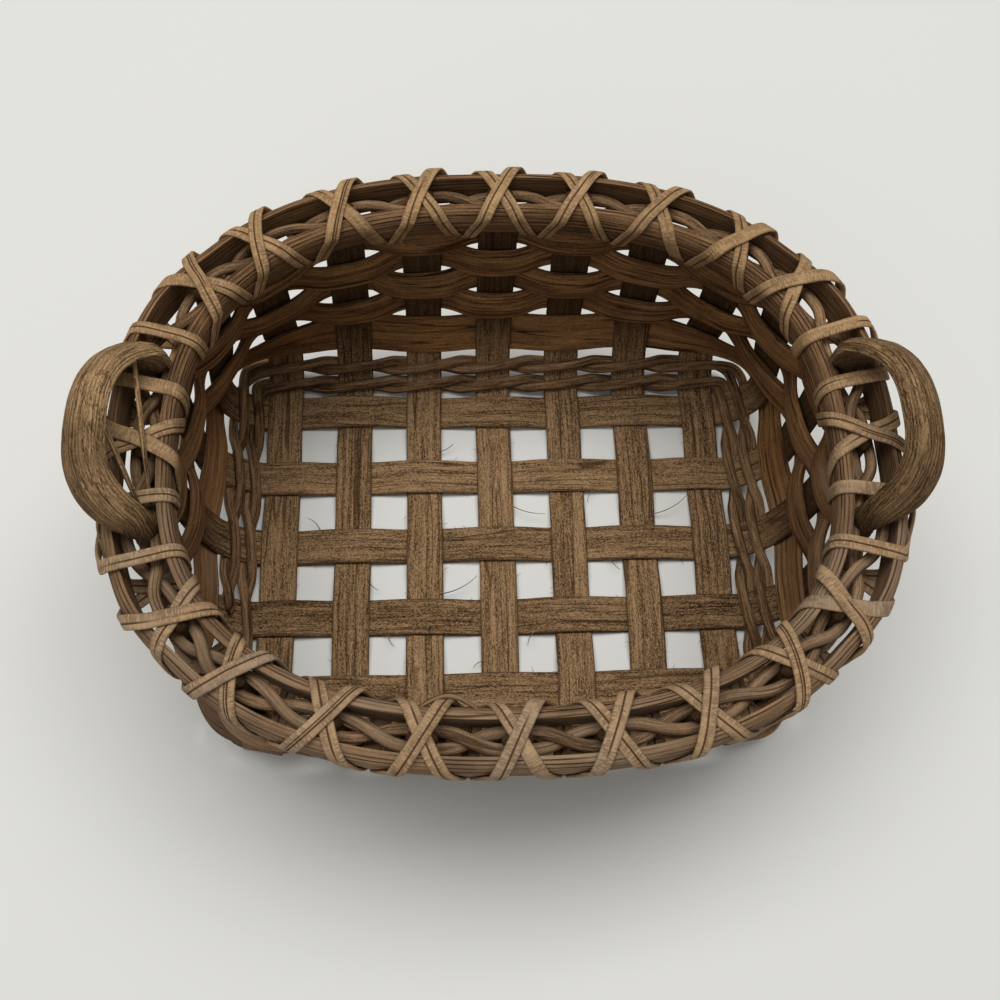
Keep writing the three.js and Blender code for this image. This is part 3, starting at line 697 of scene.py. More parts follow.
class ReedFinish:
    """The look of dry reed: fibres first, then marks that darken the tone and sink the surface."""

    NOISE_ROUGHNESS = 0.6
    # Half the grain's range from dark to pale; how much painted groove shade and a piece's own tone count
    GRAIN_SPREAD = 0.19
    RIDGE_TONE = 0.05
    OWN_TONE = 0.12
    # Share of a line's width that is full dark
    LINE_CORE = 0.4
    # Distances in front of the basket's middle between which reed gets sun-bleached, the share of it
    # at the back, and what is added to its spots all over
    BLEACH_START = -45 * MM
    BLEACH_END = 60 * MM
    BACK_BLEACH = 0.15
    EVEN_BLEACH = 0.6
    # How high fibres, specks and strands stand in the bump
    FIBRE_HEIGHT = 0.5
    SPECK_HEIGHT = 0.5
    STRAND_HEIGHT = 0.3
    BUMP_DISTANCE = 0.35 * MM
    FIBRE_GLOSS = 0.22
    SPECULAR = 0.15

    def __init__(self, name, dark, pale, grit=0.5, fibre=0.4, strand=0.4, body=0.0):
        self.material, self.surface, self.start = new_tree(name)
        self.dark = dark
        place = self.start.node("ShaderNodeUVMap", {"uv_map": "Reed"})
        self.along, self.across = self.part(place, X), self.part(place, Y)
        self.side = self.attribute("side")
        self.fibres = self.noise(7, 0.42, detail=3.0, shift=0.3)
        specks = self.noise(0.75, 0.34, detail=2.0, shift=11.3)
        strands = self.noise(55, 1.7, detail=2.0, shift=4.1)
        own = self.noise(2500, 2500, detail=0.0, shift=6.6)
        grain = specks * grit + self.fibres * fibre + strands * strand
        # Painted shade: the hollows between the fibre ridges are darker, the ridges paler
        grain = grain + self.attribute("hollow") * self.RIDGE_TONE + (own - 0.5) * self.OWN_TONE
        middle = (grit + fibre + strand) / 2
        grain = grain.between(middle - self.GRAIN_SPREAD, middle + self.GRAIN_SPREAD)
        self.tone = grown(body, grain).mix(dark, pale)
        self.height = self.fibres * self.FIBRE_HEIGHT + specks * self.SPECK_HEIGHT
        self.height = self.height + strands * self.STRAND_HEIGHT

    def attribute(self, name):
        """A value that the mesh holds for each of its points."""
        return self.start.node("ShaderNodeAttribute", {"attribute_name": name}, output="Fac")

    def part(self, vector, axis):
        """One coordinate of a vector."""
        return self.start.node("ShaderNodeSeparateXYZ", sockets={0: vector}, output=axis)

    def place(self, axis):
        """A coordinate of the surface in the basket's own frame."""
        return self.part(self.start.node("ShaderNodeTexCoord", output="Object"), axis)

    def noise(self, cell_length, cell_width, detail, shift):
        """Smooth noise with cells of a length and a width in millimetres."""
        along = self.along * (1 / (cell_length * MM))
        across = self.across * (1 / (cell_width * MM))
        place = self.start.node("ShaderNodeCombineXYZ", sockets={X: along, Y: across, Z: shift})
        sockets = {"Vector": place, "Scale": 1.0, "Detail": detail, "Roughness": self.NOISE_ROUGHNESS}
        return self.start.node("ShaderNodeTexNoise", sockets=sockets)

    def lines(self, value, width, middle=0.5):
        """Thin lines where a value passes its middle."""
        return 1 - abs(value - middle).between(self.LINE_CORE * width, width)

    def mark(self, mask, strength, depth=0.0):
        """Darkens the tone and sinks the surface under a mask."""
        self.tone = (mask * strength).mix(self.tone, self.dark)
        if depth:
            self.height = self.height - mask * depth
        return self

    def threads(self, gap, width, strength):
        """Long thin dark lines along the reed, about a gap apart."""
        line = self.lines(self.noise(30 * gap, gap, detail=0.0, shift=2.2), width)
        shown = self.noise(26, 1.5 * gap, detail=1.0, shift=3.7).between(0.4, 0.52)
        return self.mark(line * shown, strength, depth=strength)

    def ribs(self, gap, strength):
        """Close ridges along the reed with a dark line between each two."""
        wander = self.noise(70, 5, detail=1.0, shift=6.1) * 1.6
        phase = self.across * (1 / (gap * MM)) + wander
        wave = self.start.sum("SINE", phase * (2 * math.pi))
        shown = grown(0.25, self.noise(24, 2 * gap, detail=1.0, shift=8.8).between(0.38, 0.6))
        return self.mark(wave.between(0.3, 1.0) * shown, strength, depth=0.9)

    def cracks(self, gap, strength):
        """Short fine cracks across the reed."""
        crack = self.lines(self.noise(gap, 5 * gap, detail=1.0, shift=9.4), width=0.12)
        shown = grown(0.3, self.noise(7, 2.5, detail=1.0, shift=5.9).between(0.36, 0.6))
        return self.mark(crack * shown, strength, depth=0.7)

    def seam(self, strength):
        """One or two crisp lines near the middle of the lashing."""
        wander = self.noise(38, 1000, detail=0.0, shift=5.5) * 0.9
        first = self.lines(self.side, width=0.17, middle=wander - 0.38)
        second = self.lines(self.side, width=0.12, middle=wander - 0.72)
        shown = self.noise(50, 1000, detail=0.0, shift=8.1)
        line = first * shown.between(0.36, 0.42) + second * shown.between(0.64, 0.68)
        return self.mark(line, strength, depth=1.2)

    def edges(self, strength):
        """Darker edges of a strip."""
        return self.mark(abs(self.side).between(0.84, 1.0), strength)

    def bark(self, strength):
        """Flakes of dry bark with cracks between them."""
        flakes = self.noise(9, 1.3, detail=2.0, shift=1.9)
        crack = self.lines(flakes, width=0.03, middle=0.42)
        crack = crack + self.lines(flakes, width=0.025, middle=0.62)
        shown = self.noise(9, 4, detail=1.0, shift=2.6).between(0.4, 0.6)
        self.height = self.height + flakes * 1.6
        return self.mark(crack * shown, strength, depth=1.0)

    def patches(self, strength):
        """Soft dark patches."""
        return self.mark(self.noise(22, 11, detail=3.0, shift=7.7).between(0.38, 0.72), strength)

    def stain(self, axis, start, end, strength):
        """Gets darker from one place to another along an axis of the basket."""
        return self.mark(self.place(axis).between(start, end), strength)

    def weathered(self, strength, tint):
        """Sun-bleached grey, most of it on the front."""
        spots = self.noise(45, 25, detail=2.0, shift=12.0).between(0.42, 0.66)
        spots = spots + self.EVEN_BLEACH
        front = self.BACK_BLEACH + (0 - self.place(Y)).between(self.BLEACH_START, self.BLEACH_END)
        self.tone = (spots * front * strength).mix(self.tone, tint)
        return self

    def done(self, depth, gloss):
        """Joins the tone, the surface's height and its gloss to the material."""
        sockets = {"Strength": depth, "Distance": self.BUMP_DISTANCE, "Height": self.height}
        bump = self.start.node("ShaderNodeBump", sockets=sockets)
        rough = gloss + self.fibres * self.FIBRE_GLOSS
        for value, name in ((self.tone, "Base Color"), (bump, "Normal"), (rough, "Roughness")):
            self.start.tree.links.new(value.socket, self.surface.inputs[name])
        self.surface.inputs["Specular IOR Level"].default_value = self.SPECULAR
        return self.material


def piece_step(context):
    """The wall and the colours that an operator works with."""
    return Wall(context.scene.basket_sizes), context.scene.basket_colours


class BASKET_OT_stakes(bpy.types.Operator):
    """Lays the flat stakes over and under each other and turns their ends up"""

    bl_idname = "basket.stakes"
    bl_label = "Stakes"

    SEED = 100
    COLUMNS = 26
    CROWN = 9
    STEP = 1.7 * MM
    FINE_STEP = 1.0 * MM
    # Path in the base: how close the layers lie, how sharply they bend, how they settle at the ends
    BASE_POINTS = 220
    LAYER_SHARE = 0.96
    SHARPNESS = 1.7
    SETTLE = 0.3
    SWAY = (0.5 * MM, 45 * MM, 11.5)
    # Path up the wall: where it starts, how its points crowd at the foot, where it ends
    WALL_POINTS = 160
    FIRST_SHARE = 0.004
    FOOT_CROWDING = 1.7
    TOP_RISE = 2.2 * MM
    HANDLE_TOP_DROP = 4.3 * MM
    # The ends get narrower and thicker from a height on
    TONGUE_FOOT = 77 * MM
    TONGUE_LENGTH = 8 * MM
    TONGUE_NARROWING = 0.38
    TONGUE_THICKENING = 0.35
    # The folded ends: shares of the stake's width, and of their own width and thickness at both tips
    FOLD_POINTS = 14
    FOLD_COLUMNS = 18
    FOLD_CROWN = 2.6
    FOLD_END = 0.05
    FOLD_WIDTH = 0.6
    FOLD_TIP_WIDTH = 0.7
    FOLD_TIP_THICKNESS = 0.3
    # Fibres bow sideways and upwards by a share of their length and get thinner to the tip
    HAIR_POINTS = 14
    HAIR_SIDES = 6
    HAIR_BOW = 0.12
    HAIR_RISE = 0.1
    HAIR_TAPER = 0.55
    # Short fibres on the edges of each stake in the base: how many, where and how far, in millimetres
    FUZZ = 16
    FUZZ_SEED = 700
    FUZZ_CEILING = 5 * MM
    FUZZ_ROOT = 0.4 * MM
    FUZZ_OUT = (0.7, 2.4)
    FUZZ_ALONG = (-1.8, 1.8)
    FUZZ_UP = (0, 0.8)
    FUZZ_THICKNESS = 0.45
    # Split fibres that stand off the stakes, from root to tip in millimetres
    HAIRS = {
        "cross_stake_2": [((-45.4, -12.0, 2.0), (-41.5, -16.5, 2.8))],
        "cross_stake_3": [
            ((-20.2, -18.0, 2.0), (-7.3, -12.3, 4.4)),
            ((-20.0, 36.0, 2.0), (-15.0, 38.5, 3.2)),
        ],
        "cross_stake_4": [
            ((5.4, 14.9, 2.0), (17.5, 10.5, 4.2)),
            ((-5.6, -42.0, 2.0), (-9.2, -44.5, 3.0)),
        ],
        "cross_stake_6": [((56.2, 10.6, 2.0), (69.3, 17.5, 4.5))],
        "long_stake_2": [((36.0, 20.6, 2.0), (33.0, 15.0, 3.2))],
        "long_stake_3": [
            ((40.0, -5.4, 2.0), (43.0, -10.5, 3.4)),
            ((-62.0, 5.2, 2.0), (-66.5, 10.0, 3.6)),
        ],
        "long_stake_4": [
            ((13.0, -31.6, 2.0), (9.5, -37.0, 3.0)),
            ((-38.0, -31.8, 2.0), (-36.0, -36.5, 2.6)),
        ],
    }

    def hair(self, piece, root, tip, radius):
        """One thin fibre that bows from its root in a stake to its tip in the air."""
        share = np.linspace(0, 1, self.HAIR_POINTS)[:, None]
        way = tip - root
        reach = np.linalg.norm(way)
        bow = np.cross(way, UP) * self.HAIR_BOW + UP * self.HAIR_RISE * reach
        path = root + way * share + bow * 4 * share * (1 - share)
        turn = 2 * np.pi * np.arange(self.HAIR_SIDES) / self.HAIR_SIDES
        section = ring(radius * (1 - self.HAIR_TAPER * share), turn)
        facing = np.broadcast_to(UP, path.shape)
        piece.add(path, facing, share[:, 0] * reach, section, np.zeros(section.shape[:2]))

    def fuzz(self, wall, piece, path, facing, seed):
        """Short fibres along both edges of a stake, where it lies in the base."""
        random = np.random.default_rng(seed)
        tangent = unit(np.gradient(path, axis=0))
        across = np.cross(facing, tangent)
        for row in random.choice(np.flatnonzero(path[:, Z] < self.FUZZ_CEILING), self.FUZZ):
            out = across[row] * random.choice((-1, 1))
            root = path[row] + out * (wall.stake_width / 2 - self.FUZZ_ROOT)
            reach = out * random.uniform(*self.FUZZ_OUT) + tangent[row] * random.uniform(*self.FUZZ_ALONG)
            tip = root + (reach + UP * random.uniform(*self.FUZZ_UP)) * MM
            self.hair(piece, root, tip, self.FUZZ_THICKNESS * wall.fibre_radius)

    def fold(self, wall, piece, reed, end):
        """The end of a stake, folded over above the rods of the rim."""
        heights = np.linspace(wall.fold_foot, wall.rim_height - wall.clearance, self.FOLD_POINTS)
        point, _, inward, _ = wall.directions(end, heights)
        turn = np.linspace(self.FOLD_END, np.pi - self.FOLD_END, self.FOLD_POINTS)
        bulge = np.sqrt(np.sin(turn))
        width = self.FOLD_WIDTH * wall.stake_width * grown(self.FOLD_TIP_WIDTH, bulge)
        thick = wall.fold_thickness / 2 * grown(self.FOLD_TIP_THICKNESS, bulge)
        along = heights - heights[0]
        section, hollow = reed.strip(along, width, -thick, thick, self.FOLD_CROWN, self.FOLD_COLUMNS)
        piece.add(point, inward, along, section, hollow)

    def base_path(self, wall, reed, axis, offset, under):
        """Middle line of a stake in the base, over and under the stakes that it crosses."""
        crossings, pitch = ((CROSS_STAKES, wall.cross_pitch), (LONG_STAKES, wall.long_pitch))[axis]
        half = (crossings - 1) / 2 * pitch + wall.stake_width / 2 + wall.base_border
        along = np.linspace(-half, half, self.BASE_POINTS)
        wave = pressed(np.cos(np.pi * (along / pitch + (crossings - 1) / 2)), self.SHARPNESS)
        settled = smooth((half - np.abs(along)) / (self.SETTLE * pitch))
        layer = self.LAYER_SHARE * wall.base_layer * (-1 if under else 1)
        path = np.empty((self.BASE_POINTS, 3))
        path[:, axis] = along
        path[:, 1 - axis] = offset + reed.stray(along, *self.SWAY) * settled
        path[:, Z] = wall.base_middle + layer * wave * settled
        return path

    def wall_path(self, wall, end):
        """Middle line and facing of a stake's end, from the base up the wall."""
        top = wall.stake_top + (-self.HANDLE_TOP_DROP if is_handle_stake(end) else self.TOP_RISE)
        rise = np.linspace(self.FIRST_SHARE, 1, self.WALL_POINTS) ** self.FOOT_CROWDING
        heights = wall.base_middle + (top - wall.base_middle) * rise
        point, _, inward, _ = wall.directions(end, heights)
        near = smooth(1 - np.abs(heights - wall.foot_row) / wall.foot_weaver_width)
        bend = wall.foot_bend * near * (-1 if end % 2 == 0 else 1)
        return point + inward * bend[:, None], inward

    def stake(self, wall, finish, seed, node, ends, axis, offset, under):
        """One stake, from one rim over the base to the other, with its folds and fibres."""
        reed = Reed(seed, ridge=0.11 * MM, ridge_width=0.95 * MM, ridge_length=42 * MM)
        base = self.base_path(wall, reed, axis, offset, under)
        (first, first_facing), (last, last_facing) = (self.wall_path(wall, end) for end in ends)
        path = np.concatenate([first[::-1], base, last])
        facing = np.concatenate([first_facing[::-1], np.broadcast_to(UP, base.shape), last_facing])
        path, facing, _ = resampled(path, facing, self.FINE_STEP)
        path, facing, along = resampled(
            smoothed(path, steps=6), unit(smoothed(facing, steps=12)), self.STEP
        )
        tongue = smooth((path[:, Z] - self.TONGUE_FOOT) / self.TONGUE_LENGTH)
        width = wall.stake_width * (1 - self.TONGUE_NARROWING * tongue)
        thick = wall.stake_thickness / 2 * (1 + self.TONGUE_THICKENING * tongue)
        section, hollow = reed.strip(along, width, -thick, thick, self.CROWN, self.COLUMNS)
        piece = Piece(f"{node}_reed", seed)
        piece.add(path, facing, along, section, hollow)
        for end in ends:
            if not is_handle_stake(end):
                self.fold(wall, piece, reed, end)
        for root, tip in self.HAIRS.get(node, []):
            self.hair(piece, np.array(root) * MM, np.array(tip) * MM, wall.fibre_radius)
        self.fuzz(wall, piece, path, facing, seed - self.SEED + self.FUZZ_SEED)
        piece.build(finish, node)

    def execute(self, context):
        wall, colours = piece_step(context)
        finish = ReedFinish("stake_reed", colours.stake_dark, colours.stake_pale, grit=0.7, strand=0.3)
        finish.threads(gap=3.2, width=0.03, strength=0.65).patches(0.15).edges(0.5)
        # Painted shade: the stakes get darker up the wall, from 8 mm to 36 mm high, as if shaded by the
        # rows and the rim
        finish = finish.stain(Z, 8 * MM, 36 * MM, 0.8).done(depth=0.7, gloss=0.72)
        jobs = []
        for stake in range(CROSS_STAKES):
            ends = (stake, HALF_ENDS + CROSS_STAKES - 1 - stake)
            x = (stake - (CROSS_STAKES - 1) / 2) * wall.cross_pitch
            jobs.append((f"cross_stake_{stake + 1}", ends, Y, x, stake % 2 == 1))
        for stake in range(LONG_STAKES):
            ends = (HALF_ENDS + CROSS_STAKES + stake, HALF_ENDS - 1 - stake)
            y = ((LONG_STAKES - 1) / 2 - stake) * wall.long_pitch
            jobs.append((f"long_stake_{stake + 1}", ends, X, y, stake % 2 == 0))
        for seed, job in enumerate(jobs, self.SEED):
            self.stake(wall, finish, seed, *job)
        return {"FINISHED"}


class TwinedPair:
    """What the twined rods of the base and of the rim have in common."""

    # How sharply a rod changes sides, and how much more it is pressed onto the stakes outside the wall
    SHARPNESS = 1.3
    OUTSIDE_EASE = 1.4
    ROD_STEP = 1.2 * MM
    ROD_SIDES = 14
    SWELL = (0.09, 35 * MM, 3.3)
    TIP_SHARE = 0.55
    TIP_LENGTH = 3 * MM

    def twined(self, wall, pair, strand, place, level, tail_room, ease, slant):
        """Middle line and facing of one rod: flat past the stakes, half a twist in the gaps."""
        turn = np.pi * (place + strand)
        side = pressed(np.cos(turn), self.SHARPNESS)
        point, upward, inward, _ = wall.directions(place, level)
        first = np.floor(place)
        share = smooth(place - first)
        corner = wall.edge_drop(first, level) * (1 - share) + wall.edge_drop(first + 1, level) * share
        tail = tail_room * (is_handle_stake(first) * (1 - share) + is_handle_stake(first + 1) * share)
        outside = np.where(side < 0, corner + tail, 0) * np.abs(side)
        tight = np.where(side < 0, self.OUTSIDE_EASE * ease, ease)
        rise = np.arcsin(np.sin(turn)) * 2 / np.pi * pair["rise"] * slant
        path = point + inward * (side * (pair["reach"] - tight) - outside)[:, None]
        return smoothed(path + upward * rise[:, None], steps=4), inward

    def rod(self, node, path, facing, seed, finish, radius):
        """Builds one round rod that stands for its solid."""
        reed = Reed(seed, ridge=0.1 * MM, ridge_width=0.8 * MM, ridge_length=30 * MM)
        path, facing, along = resampled(path, facing, self.ROD_STEP)
        radius = radius * (1 + reed.stray(along, *self.SWELL))
        radius = radius * end_taper(along, self.TIP_SHARE, self.TIP_LENGTH)
        section, hollow = reed.rod(along, radius, self.ROD_SIDES)
        piece = Piece(f"{node}_reed", seed)
        piece.add(path, facing, along, section, hollow)
        piece.build(finish, node)


class BASKET_OT_base_twine(TwinedPair, bpy.types.Operator):
    """Twines a pair of rods twice round the edge of the base"""

    bl_idname = "basket.base_twine"
    bl_label = "Base twine"

    SEED = 300
    POINTS = 2300
    # Where the rods end and where they climb to the second round, in stake ends
    LAST_PLACE = 2 * STAKE_ENDS - 2
    CLIMB_START = STAKE_ENDS - 1.5
    # The rods lie lower and closer together than clear of each other, press onto the stakes and swell
    DROP = 1.1 * MM
    ROUND_SPACING = 7.2 * MM
    EASE = 1.0 * MM
    SLANT = -0.8
    THICKENING = 1.14

    def execute(self, context):
        wall, colours = piece_step(context)
        finish = ReedFinish("base_rod_reed", colours.rod_dark, colours.rod_pale, grit=0.3, fibre=0.5)
        finish.threads(gap=2.2, width=0.04, strength=0.6).patches(0.3)
        finish = finish.done(depth=0.6, gloss=0.72)
        place = np.linspace(0, self.LAST_PLACE, self.POINTS)
        low = wall.low_twine - self.DROP
        high = wall.height_above(low, self.ROUND_SPACING)
        level = low + (high - low) * smooth(place - self.CLIMB_START)
        radius = self.THICKENING * wall.base_pair["radius"]
        for strand in (0, 1):
            path, facing = self.twined(
                wall, wall.base_pair, strand, place, level, tail_room=0.0, ease=self.EASE, slant=self.SLANT
            )
            self.rod(f"base_twine_rod_{strand + 1}", path, facing, self.SEED + strand, finish, radius)
        return {"FINISHED"}


class BASKET_OT_weavers(bpy.types.Operator):
    """Weaves the wall rows over and under the stakes"""

    bl_idname = "basket.weavers"
    bl_label = "Wall rows"

    SEED = 200
    POINTS = 900
    COLUMNS = 24
    STEP = 1.7 * MM
    # Where each row starts after the one below, its joint and the gap at its ends, in stake ends
    STAGGER = 5.0
    SCARF = 2.0
    END_GAP = 0.2
    # How sharply a row bends round the stakes, and how it wanders up and down and in width
    SHARPNESS = 1.25
    LIFT = (0.5 * MM, 1.7, 7.7)
    BREADTH = (0.05, 40 * MM, 1.5)
    TIP_SHARE = 0.55
    TIP_LENGTH = 6 * MM
    # The lowest row is flat, and lies lower and is wider than it is spaced for
    FOOT_CROWN = 9
    FOOT_DROP = 0.8 * MM
    FOOT_SPREAD = 1.0 * MM
    SIDE_CROWN = 2.3

    def offsets(self, wall, row, stakes, height, width, thickness):
        """How far inwards the row lies from the middle of each stake that it passes."""
        reach = (wall.stake_thickness + thickness) / 2 + wall.clearance / 2
        reach = reach - (wall.foot_bend if row == 1 else 0)
        slack = wall.clearance if row == 1 else wall.corner_slack
        beside = height + width / 2 > wall.rim_height - wall.handle_tail
        tail = wall.tail_room * is_handle_stake(stakes) * beside
        outside = reach + wall.edge_drop(stakes, height) + tail + slack
        return np.where((row + stakes) % 2 == 1, reach, -outside)

    def bow(self, wall, stakes, height, width):
        """How far the row's edges have to curl to follow the wall at each stake."""
        edges = (wall.point(stakes, height - width / 2) + wall.point(stakes, height + width / 2)) / 2
        middle, _, inward, _ = wall.directions(stakes, height)
        return np.abs(np.sum((edges - middle) * inward, -1))

    def row(self, wall, row, height, width, thickness, crown, finish):
        """One strip once round, its ends scarfed on each other."""
        seed, node = self.SEED + row, f"side_weaver_{row}"
        reed = Reed(seed, ridge=0.16 * MM, ridge_width=1.1 * MM, ridge_length=50 * MM)
        walked = np.linspace(self.END_GAP, STAKE_ENDS + self.SCARF - self.END_GAP, self.POINTS)
        start = row * self.STAGGER
        place = start + walked
        stakes = np.arange(int(place[0]) - 1, int(place[-1]) + 3)
        offsets = self.offsets(wall, row, stakes, height, width, thickness)
        first = np.floor(place).astype(int) - stakes[0]
        wave = pressed(np.cos(np.pi * (place - np.floor(place))), self.SHARPNESS)
        offset = offsets[first] * (1 + wave) / 2 + offsets[first + 1] * (1 - wave) / 2
        lift = reed.stray(place, *self.LIFT)
        point, upward, inward, _ = wall.directions(place, height)
        path = smoothed(point + inward * offset[:, None] + upward * lift[:, None], steps=3)
        path, facing, along = resampled(path, inward, self.STEP)
        walk = even_walk(along, walked)
        low, high = scarf_faces(walked, walk, self.SCARF, thickness, wall.clearance)
        breadth = width * end_taper(along, self.TIP_SHARE, self.TIP_LENGTH)
        breadth = breadth * (1 + reed.stray(along, *self.BREADTH))
        curl = np.interp(start + walk, stakes, self.bow(wall, stakes, height, width))
        section, hollow = reed.strip(along, breadth, low, high, crown, self.COLUMNS, curl=curl)
        piece = Piece(f"{node}_reed", seed)
        piece.add(path, facing, along, section, hollow)
        piece.build(finish, node)

    def execute(self, context):
        wall, colours = piece_step(context)
        foot = ReedFinish("foot_reed", colours.weaver_dark, colours.weaver_pale, grit=0.4, body=0.1)
        foot.weathered(0.35, colours.weathered).threads(gap=3.2, width=0.03, strength=0.8)
        # Painted shade: the lowest row gets darker towards the front, where its outside lies in shadow
        foot.patches(0.35).edges(0.5).stain(Y, -30 * MM, -66 * MM, 0.65)
        foot = foot.done(depth=0.7, gloss=0.72)
        side = ReedFinish("weaver_reed", colours.weaver_dark, colours.weaver_pale, grit=0.3, fibre=0.5)
        side.weathered(0.35, colours.weathered).threads(gap=2.0, width=0.042, strength=0.8)
        side = side.patches(0.4).edges(0.4).done(depth=0.8, gloss=0.7)
        width = wall.foot_weaver_width + self.FOOT_SPREAD
        height = wall.foot_row - self.FOOT_DROP
        self.row(wall, 1, height, width, wall.foot_weaver_thickness, self.FOOT_CROWN, foot)
        width = wall.side_weaver_width + wall.row_spread
        for row, height in enumerate(wall.rows, 2):
            self.row(wall, row, height, width, wall.side_weaver_thickness, self.SIDE_CROWN, side)
        return {"FINISHED"}


class BASKET_OT_rim_rods(TwinedPair, bpy.types.Operator):
    """Twines a pair of rods round the stake tops inside the rim"""

    bl_idname = "basket.rim_rods"
    bl_label = "Rim rods"

    SEED = 320
    POINTS = 1500
    # Half the gap where a rod's ends meet, in stake ends
    END_GAP = 0.02
    # The rods lie above the hoops' middle, press onto the stakes and swell
    RAISE = 0.3 * MM
    EASE = 0.3 * MM
    SLANT = 0.85
    THICKENING = 1.35

    def execute(self, context):
        wall, colours = piece_step(context)
        finish = ReedFinish("rim_rod_reed", colours.rod_dark, colours.rod_pale, grit=0.3, fibre=0.5)
        finish.weathered(0.25, colours.weathered).threads(gap=2.2, width=0.04, strength=0.6)
        finish = finish.patches(0.3).done(depth=0.6, gloss=0.72)
        place = np.linspace(self.END_GAP, STAKE_ENDS - self.END_GAP, self.POINTS)
        level = wall.hoop_middle + self.RAISE
        radius = self.THICKENING * wall.rim_pair["radius"]
        for strand in (0, 1):
            path, facing = self.twined(
                wall, wall.rim_pair, strand, place, level, wall.tail_room, ease=self.EASE, slant=self.SLANT
            )
            self.rod(f"rim_twine_rod_{strand + 1}", path, facing, self.SEED + strand, finish, radius)
        return {"FINISHED"}


def add_strand(piece, reed, path, radius):
    """Adds a thin strand along a path, thinner at its two ends."""
    step, sides, tip_share = 0.8 * MM, 10, 0.6
    path, facing, along = resampled(path, np.broadcast_to(UP, path.shape), step)
    radius = radius * grown(tip_share, np.sin(np.pi * along / along[-1]))
    section, hollow = reed.rod(along, radius, sides)
    piece.add(path, facing, along, section, hollow)


class BASKET_OT_hoops(bpy.types.Operator):
    """Bends the two half-round hoops of the rim"""

    bl_idname = "basket.hoops"
    bl_label = "Rim hoops"

    SEED = 400
    POINTS = 700
    COLUMNS = 46
    STEP = 1.8 * MM
    # Where each hoop starts, its joint and the gap at its ends, in stake ends
    INNER_START = 2.0
    OUTER_START = 14.0
    SCARF = 3.0
    END_GAP = 0.1
    SWAY = (0.35 * MM, 2.1, 2.2)
    # Where a strand has split off the inner hoop, in stake ends, and where it lies on the hoop
    SPLIT_START = 1.93
    SPLIT_LENGTH = 0.66
    SPLIT_POINTS = 40
    SPLIT_OUT = 0.7
    SPLIT_UP = 0.32
    SPLIT_RISE = 0.4

    def hoop(self, wall, node, side, start, seed, finish):
        """One hoop with its flat face towards the stakes and a scarfed joint."""
        reed = Reed(seed, ridge=0.2 * MM, ridge_width=0.7 * MM, ridge_length=90 * MM)
        walked = np.linspace(self.END_GAP, STAKE_ENDS + self.SCARF - self.END_GAP, self.POINTS)
        place = start + walked
        bulge = wall.hoop_bulge(place) if side > 0 else 0
        height = wall.hoop_middle + reed.stray(place, *self.SWAY)
        path = wall.rim_point(place, side * (wall.channel_half + bulge), height)
        facing = -side * wall.rim_inward(place)
        path, facing, along = resampled(smoothed(path, steps=3), facing, self.STEP)
        thickness = wall.hoop_thickness
        faces = scarf_faces(walked, even_walk(along, walked), self.SCARF, thickness, wall.clearance)
        low, high = (face + thickness / 2 for face in faces)
        section, hollow = reed.half_round(along, wall.hoop_height, low, high, thickness, self.COLUMNS)
        piece = Piece(f"{node}_reed", seed)
        piece.add(path, facing, along, section, hollow)
        if side < 0:
            self.split(wall, piece, reed)
        piece.build(finish, node)

    def split(self, wall, piece, reed):
        """A strand that has split off the inner hoop at the front and bows inwards."""
        share = np.linspace(0, 1, self.SPLIT_POINTS)
        place = self.SPLIT_START + self.SPLIT_LENGTH * share
        bow = wall.split_bow * np.sin(np.pi * share)
        out = -(wall.channel_half + self.SPLIT_OUT * wall.hoop_thickness + bow)
        height = wall.hoop_middle + self.SPLIT_UP * wall.hoop_height + self.SPLIT_RISE * bow
        add_strand(piece, reed, wall.rim_point(place, out, height), wall.strand_radius)

    def execute(self, context):
        wall, colours = piece_step(context)
        finish = ReedFinish(
            "hoop_reed", colours.hoop_dark, colours.hoop_pale, grit=0.3, fibre=0.5, body=0.15
        )
        finish.weathered(0.36, colours.weathered).ribs(gap=1.25, strength=0.85).patches(0.35)
        finish = finish.done(depth=0.9, gloss=0.7)
        self.hoop(wall, "inner_rim_hoop", -1, self.INNER_START, self.SEED, finish)
        self.hoop(wall, "outer_rim_hoop", 1, self.OUTER_START, self.SEED + 1, finish)
        return {"FINISHED"}


